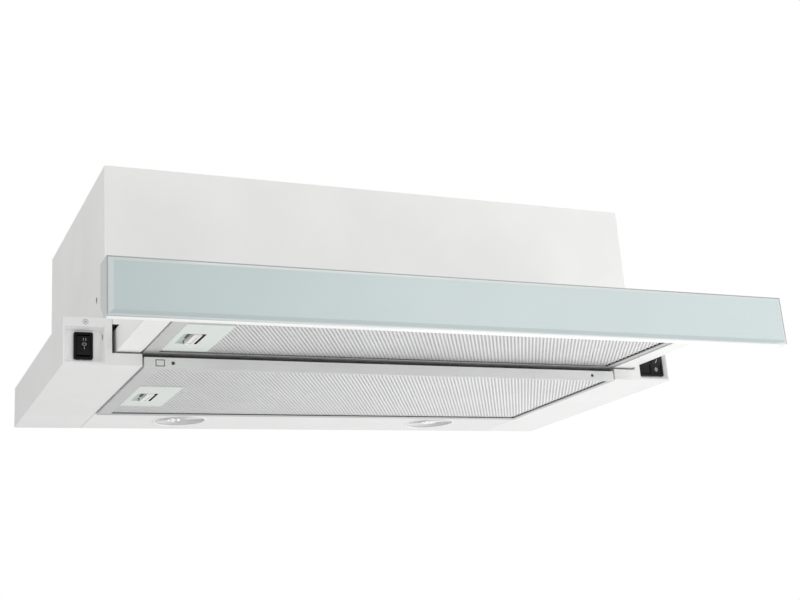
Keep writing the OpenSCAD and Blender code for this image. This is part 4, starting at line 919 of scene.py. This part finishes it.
@dataclass
class FilterFrame(SoftenedNode):
    """A filter's frame, with painted shade on the walls of the groove that its sheet slides into and on the
    borders beside it.

    Attributes:
        owner: The filter.
        wall: Painted shadow for the opening's rear wall.
        behind: Painted shade for the underside behind the opening.
        right: Place of the opening's right edge.
        left: Place of the opening's left edge.
        stamp: Place of the stamp's recess behind the frame's front, or None.
    """

    owner: GreaseFilter
    wall: Finish
    behind: Finish
    right: float = 227.5
    left: float = -220.0
    stamp: float | None = None

    # Depth within which the stamp's recess is looked for
    SHALLOW = 0.1

    def cuts(self) -> list[tuple[Vector, Triple]]:
        """Parts the borders of the underside beside the opening's rounded edges.

        Returns:
            The planes, by point and normal.
        """
        return [(at(self.right + self.PAST, 0.0, 0.0), (1.0, 0.0, 0.0)),
                (at(self.left - self.PAST, 0.0, 0.0), (1.0, 0.0, 0.0)),
                (at(0.0, self.owner.back + self.PAST, 0.0), (0.0, 1.0, 0.0))]

    def rules(self) -> list[Rule]:
        """Paints shade on two walls of the opening, on the borders beside them and in the stamp's recess.

        Returns:
            The finishes with their tests.
        """
        back, below = self.owner.back, self.owner.low + self.NEAR
        rules = [
            (self.wall, lambda m, n: n.y < -FACING and abs(m.y - back) < self.NEAR),
            (Finishes.SHADE_BAND, lambda m, n: n.x < -FACING and abs(m.x - self.right) < self.NEAR),
            (self.behind, lambda m, n: n.z < -FACING and m.z < below and m.y > back),
            (Finishes.SHADED_BORDER, lambda m, n: n.z < -FACING and m.z < below and m.x > self.right),
            (Finishes.UNDERSIDE, lambda m, n: n.z < -FACING and m.z < below),
        ]
        if self.stamp is not None:
            rules.append((Finishes.GAP_SHADOW, lambda m, n: n.y < -FACING and abs(m.y - self.stamp) < self.SHALLOW))
        return rules


@dataclass
class LatchPlate(SoftenedNode):
    """A latch's plate, with painted shade: grey on the finger slope and near-black on the walls of the grip's
    opening.

    Attributes:
        y: Place of the grip's middle.
        left: Left edge of the opening.
        right: Right edge of the opening.
        reach: Half the opening's length.
    """

    y: float
    left: float = -207.4
    right: float = -196.4
    reach: float = 16.5

    # Least and greatest part along x of the normal of the finger slope, and least part downwards
    TILTED, DOWN = (0.15, 0.5), 0.8

    def rules(self) -> list[Rule]:
        """Picks the slope and the opening's walls, for their painted shade.

        Returns:
            The finishes with their tests.
        """
        return [
            (Finishes.SHADED_SLOPE, lambda m, n: self.TILTED[0] < n.x < self.TILTED[1] and n.z < -self.DOWN),
            (Finishes.PAINTED_SHADOW, lambda m, n: abs(n.z) < FACING and abs(m.y - self.y) < self.reach
             and self.left - self.NEAR < m.x < self.right + self.NEAR),
        ]


@dataclass
class LatchTab(SoftenedNode):
    """A latch's tab: its grip has the node's finish, and the slider's underside seen beside it gets
    near-black painted shadow.

    Attributes:
        low: Height of the filter's underside.
        rise: Height of the slider's underside above it.
    """

    low: float
    rise: float = 2.8

    # How far a face of the slider's underside may be from its height
    LEVEL = 0.4

    def rules(self) -> list[Rule]:
        """Picks the slider's underside, for its painted shadow."""
        height = self.low + self.rise
        return [(Finishes.PAINTED_SHADOW, lambda m, n: n.z < -FACING and abs(m.z - height) < self.LEVEL)]


@dataclass
class LatchShadowSheet:
    """A thin near-black sheet on a latch's finger slope beside the grip: painted shadow where the slope runs
    deep.

    Attributes:
        owner: The filter that the latch is on.
        edge: Left edge of the grip's opening.
        start: Distance of the sheet's front end before the grip's middle.
        width: Width of the sheet.
        length: Its length along the grip.
        gap: Distance that it leaves to the opening.
        depth: Height of the slope's inner end above the filter's underside.
        fall: Fall of the slope for its width.
        thick: Thickness of the piece.
    """

    owner: GreaseFilter
    edge: float = -207.4
    start: float = 15.3
    width: float = 3.8
    length: float = 23.0
    gap: float = 0.1
    depth: float = 2.02
    fall: float = 2.3 / 7.5
    thick: float = 0.06

    # Shares of its width and length at which its slanting corner lies
    TAPER = (0.8, 0.75)

    def build(self) -> None:
        """Makes the sheet of painted shadow."""
        front = self.owner.grip - self.start
        shape = [(self.width, front), (self.gap, front), (self.gap, front + self.length),
                 (self.width * self.TAPER[0], front + self.length * self.TAPER[1])]
        top = self.owner.low + self.depth
        shadow_sheet = Workbench.outline([(self.edge - dx, y, top - dx * self.fall) for dx, y in shape])
        with Workbench.editing(shadow_sheet, whole=True):
            Workbench.extrude((0.0, 0.0, self.thick))
        Workbench.to_frame(shadow_sheet)
        Workbench.finish(shadow_sheet, f"{self.owner.body}_latch_shadow_sheet", self.owner.body, "dark_plastic",
                         [Finishes.PAINTED_SHADOW])


@dataclass
class FrontGlass:
    """The bevelled glass of the drawer's front, with painted highlight and shade as lines and bands on its
    polished edges.

    Attributes:
        half: Half its width.
        front: Place of its front face.
        back: Place of its back face.
        low: Height of its lower edge.
        high: Height of its upper edge.
        line: Width of the dark line of painted shade round the bevel.
        rim: Width of the polished bevel.
        slope: Depth of the bevel.
        side_rim: How much wider the bevel is at the left end.
        low_rim: How much wider the bevel is at the lower edge.
        rounding: Width of the rounding of its edges.
    """

    half: float = 299.0
    front: float = -172.0
    back: float = -168.0
    low: float = -6.0
    high: float = 37.0
    line: float = 1.0
    rim: float = 2.2
    slope: float = 0.5
    side_rim: float = 1.8
    low_rim: float = 0.9
    rounding: float = 0.2

    LOOKS = [Finishes.GLASS, Finishes.GLASS_PAINTED_HIGHLIGHT, Finishes.GLASS_PAINTED_SHADE, Finishes.GLASS_SHADE_LINE,
             Finishes.GLASS_SIDE_HIGHLIGHT]
    # How far a corner may be from where it is looked for
    NEAR = 0.01
    # A face that looks straight forwards has a normal below this in y, and one of the bevel above it
    AHEAD = -0.999
    # Greatest part along z of the lower bevel's normal, and least part along x of a side's
    DIPPING, SIDEWAYS = -0.05, 0.9

    def build(self) -> None:
        """Makes the glass."""
        start = self.front + self.slope
        middle_z = (self.low + self.high) / 2
        inner = self.front + self.NEAR
        glass = Workbench.block((-self.half, start, self.low), (self.half, self.back, self.high))
        Workbench.open_slots(glass, len(self.LOOKS))
        with Workbench.editing(glass):
            Workbench.pick(lambda m, n: n.y < self.AHEAD)
            Workbench.inset(self.line)
            Workbench.inset(self.rim, self.slope)
        with Workbench.editing(glass, "VERT"):
            Workbench.shift(lambda place: place.y < inner and place.x < 0, (self.side_rim, 0.0, 0.0))
            Workbench.shift(lambda place: place.y < inner and place.z < middle_z, (0.0, 0.0, self.low_rim))
        with Workbench.editing(glass):
            # The edge line, the bevel and the end faces get painted highlight and shade by where they face
            self._give(lambda m, n: n.y < -FACING and m.y > start - self.NEAR, Finishes.GLASS_SHADE_LINE)
            self._give(lambda m, n: n.y < -FACING and m.z < self.low + self.line, Finishes.GLASS_PAINTED_HIGHLIGHT)
            self._give(lambda m, n: self.AHEAD < n.y < -FACING, Finishes.GLASS_PAINTED_HIGHLIGHT)
            self._give(lambda m, n: self.AHEAD < n.y < -FACING and n.z < self.DIPPING, Finishes.GLASS_PAINTED_SHADE)
            self._give(lambda m, n: abs(n.x) > self.SIDEWAYS, Finishes.GLASS_SIDE_HIGHLIGHT)
        Workbench.soften(glass, self.rounding)
        Workbench.to_frame(glass)
        Workbench.finish(glass, "front_glass", "drawer", "pale_glass", self.LOOKS, ["glass_panel"])

    def _give(self, test: FaceTest, look: Finish) -> None:
        """Gives the faces that pass a test, in edit mode, one of the glass's finishes.

        Args:
            test: The test.
            look: The finish.
        """
        Workbench.pick(test)
        bpy.context.object.active_material_index = self.LOOKS.index(look)
        bpy.ops.object.material_slot_assign()


@dataclass
class PerforatedSheet:
    """The lower sheet of a filter, with fine six-sided holes in a staggered pattern.

    Attributes:
        owner: The filter.
        row_pairs: Pairs of rows along the depth.
        columns: Holes across the width.
        pitch: Distance between neighbouring holes.
        hole_r: Distance of a hole's corners from its middle.
        thick: Thickness of the sheet.
        rise: Height of the sheet above the filter's underside.
        margin: Distance of the sheet's cells from the filter's left edge and front.
        open_x: Sides of the opening behind the latch's plate, from the filter's left edge.
        open_y: Ends of that opening, from the plate's front.
    """

    owner: GreaseFilter
    row_pairs: int
    columns: int = 124
    pitch: float = 3.66
    hole_r: float = 1.14
    thick: float = 0.5
    rise: float = 1.02
    margin: tuple[float, float] = (4.0, 1.6)
    open_x: tuple[float, float] = (9.0, 49.0)
    open_y: tuple[float, float] = (3.0, 80.0)

    SIDES = 6
    # Distance within which the corners of neighbouring cells are merged
    MERGED = 0.02
    # Reach of a hole's own edges from its middle, for its radius
    INNER = 1.05

    def build(self) -> None:
        """Makes the sheet."""
        body, node = self.owner.body, f"{self.owner.body}_lower_mesh"
        across = self.pitch / math.sqrt(3)  # from a hole's middle to a corner of its six-sided cell
        first = (self.owner.left + self.margin[0], self.owner.front + self.margin[1] + across,
                 self.owner.low + self.rise)
        cell = Workbench.disc(first, across, self.SIDES)
        with Workbench.editing(cell, whole=True):
            Workbench.inset((across - self.hole_r) * math.cos(math.pi / self.SIDES))
            self._open_hole()
        sheet = Workbench.join([cell, Workbench.copy(cell, (self.pitch / 2, across * 1.5, 0.0))])
        Workbench.repeat(sheet, self.columns, (self.pitch, 0.0, 0.0))
        Workbench.repeat(sheet, self.row_pairs, (0.0, across * 3.0, 0.0))
        with Workbench.editing(sheet):
            Workbench.pick(self._behind_latch)
            bpy.ops.mesh.delete(type="FACE")
            Workbench.take_all()
            bpy.ops.mesh.remove_doubles(threshold=self.MERGED)
        Workbench.to_frame(sheet)
        Workbench.finish(sheet, f"{node}_fine", body, "aluminium", [Finishes.MESH], [node])

    def _open_hole(self) -> None:
        """Turns the selected face, in edit mode, into a hole with a wall as thick as the sheet."""
        bpy.ops.mesh.delete(type="ONLY_FACE")
        bpy.ops.mesh.select_all(action="DESELECT")
        bpy.ops.mesh.select_mode(type="EDGE")
        with Workbench.choosing() as mesh:
            middle = sum((v.co for v in mesh.verts), Vector()) / len(mesh.verts)
            for edge in mesh.edges:
                inner = all((v.co - middle).length < self.hole_r * self.INNER for v in edge.verts)
                edge.select_set(inner and edge.is_boundary)
        bpy.ops.mesh.extrude_edges_move(TRANSFORM_OT_translate={"value": (0.0, 0.0, self.thick)})

    def _behind_latch(self, middle: Vector, normal: Vector) -> bool:
        """Says whether a face lies in the opening behind the latch's plate.

        Args:
            middle: Its middle.
            normal: Its normal, which doesn't matter here.

        Returns:
            Whether it lies there.
        """
        x = middle.x - self.owner.left
        y = middle.y - self.owner.front - self.owner.plate
        return self.open_x[0] < x < self.open_x[1] and self.open_y[0] < y < self.open_y[1]


@dataclass
class LampGlass:
    """The round glass of a lamp: concentric ribs round a cluster of light diodes, whose near-white domes are
    partly their own pale colour and partly painted glint.

    Attributes:
        side: Which lamp it is.
        shift: How far left of the glass's middle the diodes are; it places their painted glint and differs
            between the two lamps.
        reach: Distance of the lamp from the centre plane.
        y: Place of the lamp's axis.
        low: Height of the glass's underside.
        radius: Radius of the glass.
        border: Width of the flat border.
        thick: Thickness of the glass.
        ribs: Number of concentric ribs.
        rib: Width of half a rib.
        depth: Depth of a rib.
        diodes: Number of diodes round the middle one.
        ring: Distance of those from the middle one.
        turn: Angle of the first of those, in degrees.
        diode_r: Radius of a diode's dome.
        stem: Height of a dome's straight foot.
    """

    side: Side
    shift: float = 3.0
    reach: float = 142.0
    y: float = 230.5
    low: float = 0.62
    radius: float = 25.6
    border: float = 1.6
    thick: float = 1.2
    ribs: int = 9
    rib: float = 0.9
    depth: float = 0.35
    diodes: int = 5
    ring: float = 5.4
    turn: float = 20.0
    diode_r: float = 2.0
    stem: float = 0.3

    LOOKS = [Finishes.LENS, Finishes.DIODE_GLINT]
    GLASS_SIDES, DOME_SIDES = 48, 12
    # Inset and height of each step of a dome, for its radius
    DOME = ((0.3, 0.25), (0.35, 0.12))

    def build(self) -> None:
        """Makes the glass and its diodes."""
        name = self.side.name.lower()
        x = self.side.value * self.reach
        glass = Workbench.disc((x, self.y, self.low), self.radius, self.GLASS_SIDES)
        with Workbench.editing(glass, whole=True):
            bpy.ops.mesh.flip_normals()
            Workbench.inset(self.border)
            for _ in range(self.ribs):
                Workbench.inset(self.rib, -self.depth)
                Workbench.inset(self.rib, self.depth)
        Workbench.modify(glass, "SOLIDIFY", thickness=self.thick, offset=-1.0)
        places = [(0.0, 0.0), *oval(self.ring, self.ring, self.diodes, self.turn)]
        diodes = [self._diode((x - self.shift + dx, self.y + dy, self.low + self.stem)) for dx, dy in places]
        glass.data.materials.append(Finishes.LENS.material())
        whole = Workbench.join([glass, *diodes])
        Workbench.to_frame(whole)
        Workbench.finish(whole, f"{name}_lamp_glass", "hood", "lamp_glass", self.LOOKS, [f"{name}_lamp_lens"])

    def _diode(self, top: Triple) -> bpy.types.Object:
        """Makes a diode's low dome under the glass.

        Args:
            top: Centre of its flat upper side.

        Returns:
            The dome, with the diode's finish.
        """
        dome = Workbench.disc(top, self.diode_r, self.DOME_SIDES)
        with Workbench.editing(dome, whole=True):
            bpy.ops.mesh.flip_normals()
            Workbench.extrude((0.0, 0.0, -self.stem))
            for inset, lift in self.DOME:
                Workbench.inset(self.diode_r * inset, self.diode_r * lift)
        for look in self.LOOKS:
            dome.data.materials.append(look.material())
        for face in dome.data.polygons:
            face.material_index = self.LOOKS.index(Finishes.DIODE_GLINT)
        return dome


@dataclass
class RockerMarks:
    """The printed marks on a rocker: bars and rings that lie on its sloping faces.

    Attributes:
        node: The rocker's CAD node.
        x: Place of the rocker's middle.
        bars: Offsets in x and height of each upright bar.
        rings: Height of each ring.
        top: Half height of the rocker's faces.
        tilt: Turn of the rocker about its pivot, in degrees.
        look: The finish of the print.
        size: Height of a mark.
        pen: Width of a line.
        ring: Width of a ring for its height.
        lean: How far a bar leans to the right for its height.
        pivot: Place and height of the rocker's pivot.
        horn: Distance of the rocker's upper and lower edges in front of the pivot.
        valley: Distance of its middle in front of the pivot.
        lift: Distance of the marks in front of the face.
    """

    node: str
    x: float
    bars: Sequence[tuple[float, float]]
    rings: Sequence[float]
    top: float
    tilt: float
    look: Finish
    size: float = 2.0
    pen: float = 0.42
    ring: float = 0.8
    lean: float = 0.0
    pivot: tuple[float, float] = (5.6, 16.4)
    horn: float = 4.2
    valley: float = 2.6
    lift: float = 0.01

    RING_SIDES = 14

    def build(self) -> None:
        """Makes the marks, one piece."""
        half, pen = self.size / 2, self.pen / 2
        aside = half * self.lean
        marks = [self._print([(dx - aside - pen, z - half), (dx - aside + pen, z - half),
                              (dx + aside + pen, z + half), (dx + aside - pen, z + half)])
                 for dx, z in self.bars]
        loop = oval(half * self.ring, half, self.RING_SIDES)
        marks += [self._print([(dx, z + dz) for dx, dz in loop], self.pen) for z in self.rings]
        whole = Workbench.join(marks)
        Workbench.to_frame(whole)
        Workbench.finish(whole, f"{self.node}_marks", BODY_OF[self.node], SLOT_OF[self.node], [self.look])

    def _print(self, shape: Sequence[tuple[float, float]], pen: float | None = None) -> bpy.types.Object:
        """Prints a mark from its outline on the rocker's face, hollow if it has a pen's width."""
        return Workbench.mark([self._on_face(dx, z) for dx, z in shape], pen)

    def _on_face(self, dx: float, z: float) -> Triple:
        """Puts a point on the rocker's sloping face.

        Args:
            dx: Distance from the rocker's middle.
            z: Height on the face from the pivot.

        Returns:
            The point in hood coordinates.
        """
        y = -self.valley - (self.horn - self.valley) * abs(z) / self.top - self.lift
        turn = math.radians(self.tilt)
        return (self.x + dx, self.pivot[0] + y * math.cos(turn) - z * math.sin(turn),
                self.pivot[1] + y * math.sin(turn) + z * math.cos(turn))


@dataclass
class WingSymbol:
    """The small round symbol printed above the left switch: a ring with a dot.

    Attributes:
        middle: Its centre on the wing's front face.
        radius: Its outer radius.
        dot: Radius of its dot.
        pen: Width of its line.
    """

    middle: Triple = (-280.8, -0.02, 36.2)
    radius: float = 2.3
    dot: float = 0.92
    pen: float = 0.45

    SIDES = 20

    def build(self) -> None:
        """Makes the symbol."""
        whole = Workbench.join([self._disc(self.radius, self.pen), self._disc(self.dot)])
        Workbench.to_frame(whole)
        Workbench.finish(whole, "left_wing_symbol", "hood", "white_plastic", [Finishes.DIM_MARK])

    def _disc(self, radius: float, pen: float | None = None) -> bpy.types.Object:
        """Prints a round mark on the wing's front face, hollow if it has a pen's width."""
        x, y, z = self.middle
        return Workbench.mark([(x + dx, y, z + dz) for dx, dz in oval(radius, radius, self.SIDES)], pen)


Piece = (SoftenedNode | LatchShadowSheet | FrontGlass | PerforatedSheet | LampGlass | RockerMarks
         | WingSymbol)


class RangeHood:
    """The whole hood: what replaces CAD nodes and what is added to them."""

    # Nodes that are only softened, by the width of their rounding in millimetres
    ROUNDED = {
        0.7: ["left_wing", "right_wing"],
        0.25: ["casing_shell", "casing_top", "casing_back", "left_flap", "right_flap"],
        0.2: ["base_plate", "drawer_cover", "drawer_rear_bar"],
        0.3: ["lamp_panel", "left_lamp_ring", "right_lamp_ring", "speed_switch_body", "twin_switch_body",
              "speed_rocker", "fan_rocker", "light_rocker", "outlet_collar"],
        0.4: ["left_drawer_rail", "right_drawer_rail", "cable_gland"],
        0.15: ["casing_screws"],
    }
    LOWER = GreaseFilter("base_filter", 0.3, -1.5, 190.3, 70.0)
    UPPER = GreaseFilter("drawer_filter", -149.5, 12.6, 0.5, 60.0)

    @classmethod
    def pieces(cls) -> list[Piece]:
        """Lists the pieces that have a class of their own.

        Returns:
            The pieces, in the order in which they are made.
        """
        lower, upper = cls.LOWER, cls.UPPER
        return [
            FrontGlass(),
            ClosingPiece("panel_backing", 0.4),
            ClosingPiece("left_panel_cap", 0.3), ClosingPiece("right_panel_cap", 0.3),
            FilterFrame("base_filter_frame", 0.25, lower, Finishes.PAINTED_SHADOW, Finishes.SHADED_BORDER, stamp=0.6),
            FilterFrame("drawer_filter_frame", 0.25, upper, Finishes.GAP_SHADOW, Finishes.SHADE_BAND),
            LatchPlate("base_latch_plate", 0.15, lower.grip),
            LatchPlate("drawer_latch_plate", 0.15, upper.grip),
            LatchTab("base_latch_tab", 0.3, lower.low), LatchTab("drawer_latch_tab", 0.3, upper.low),
            LatchShadowSheet(lower), LatchShadowSheet(upper),
            PerforatedSheet(lower, 30), PerforatedSheet(upper, 24),
            LampGlass(Side.LEFT, 6.0), LampGlass(Side.RIGHT),
            RockerMarks("speed_rocker", -281.2, [(-1.0, 5.2), (1.0, 5.2), (0.0, -1.7)], [1.4], 8.1, 0.0,
                        Finishes.DIM_MARK, 2.4, ring=1.6),
            RockerMarks("light_rocker", 286.9, [(0.0, 4.4)], [-3.8], 7.9, 10.0, Finishes.MARK, 3.6,
                        lean=0.35),
            RockerMarks("fan_rocker", 274.1, [(-0.9, 4.4), (0.9, 4.4)], [], 7.9, 10.0, Finishes.DIM_MARK),
            WingSymbol(),
        ]

    @classmethod
    def build(cls) -> None:
        """Makes every piece."""
        softened = [SoftenedNode(node, width) for width, nodes in cls.ROUNDED.items() for node in nodes]
        for piece in softened + cls.pieces():
            piece.build()


def main() -> None:
    """Builds the studio and the hood."""
    PhotoCamera().build()
    Studio().build()
    Finishes.dress_frame()
    RangeHood.build()


if __name__ == "__main__":
    main()
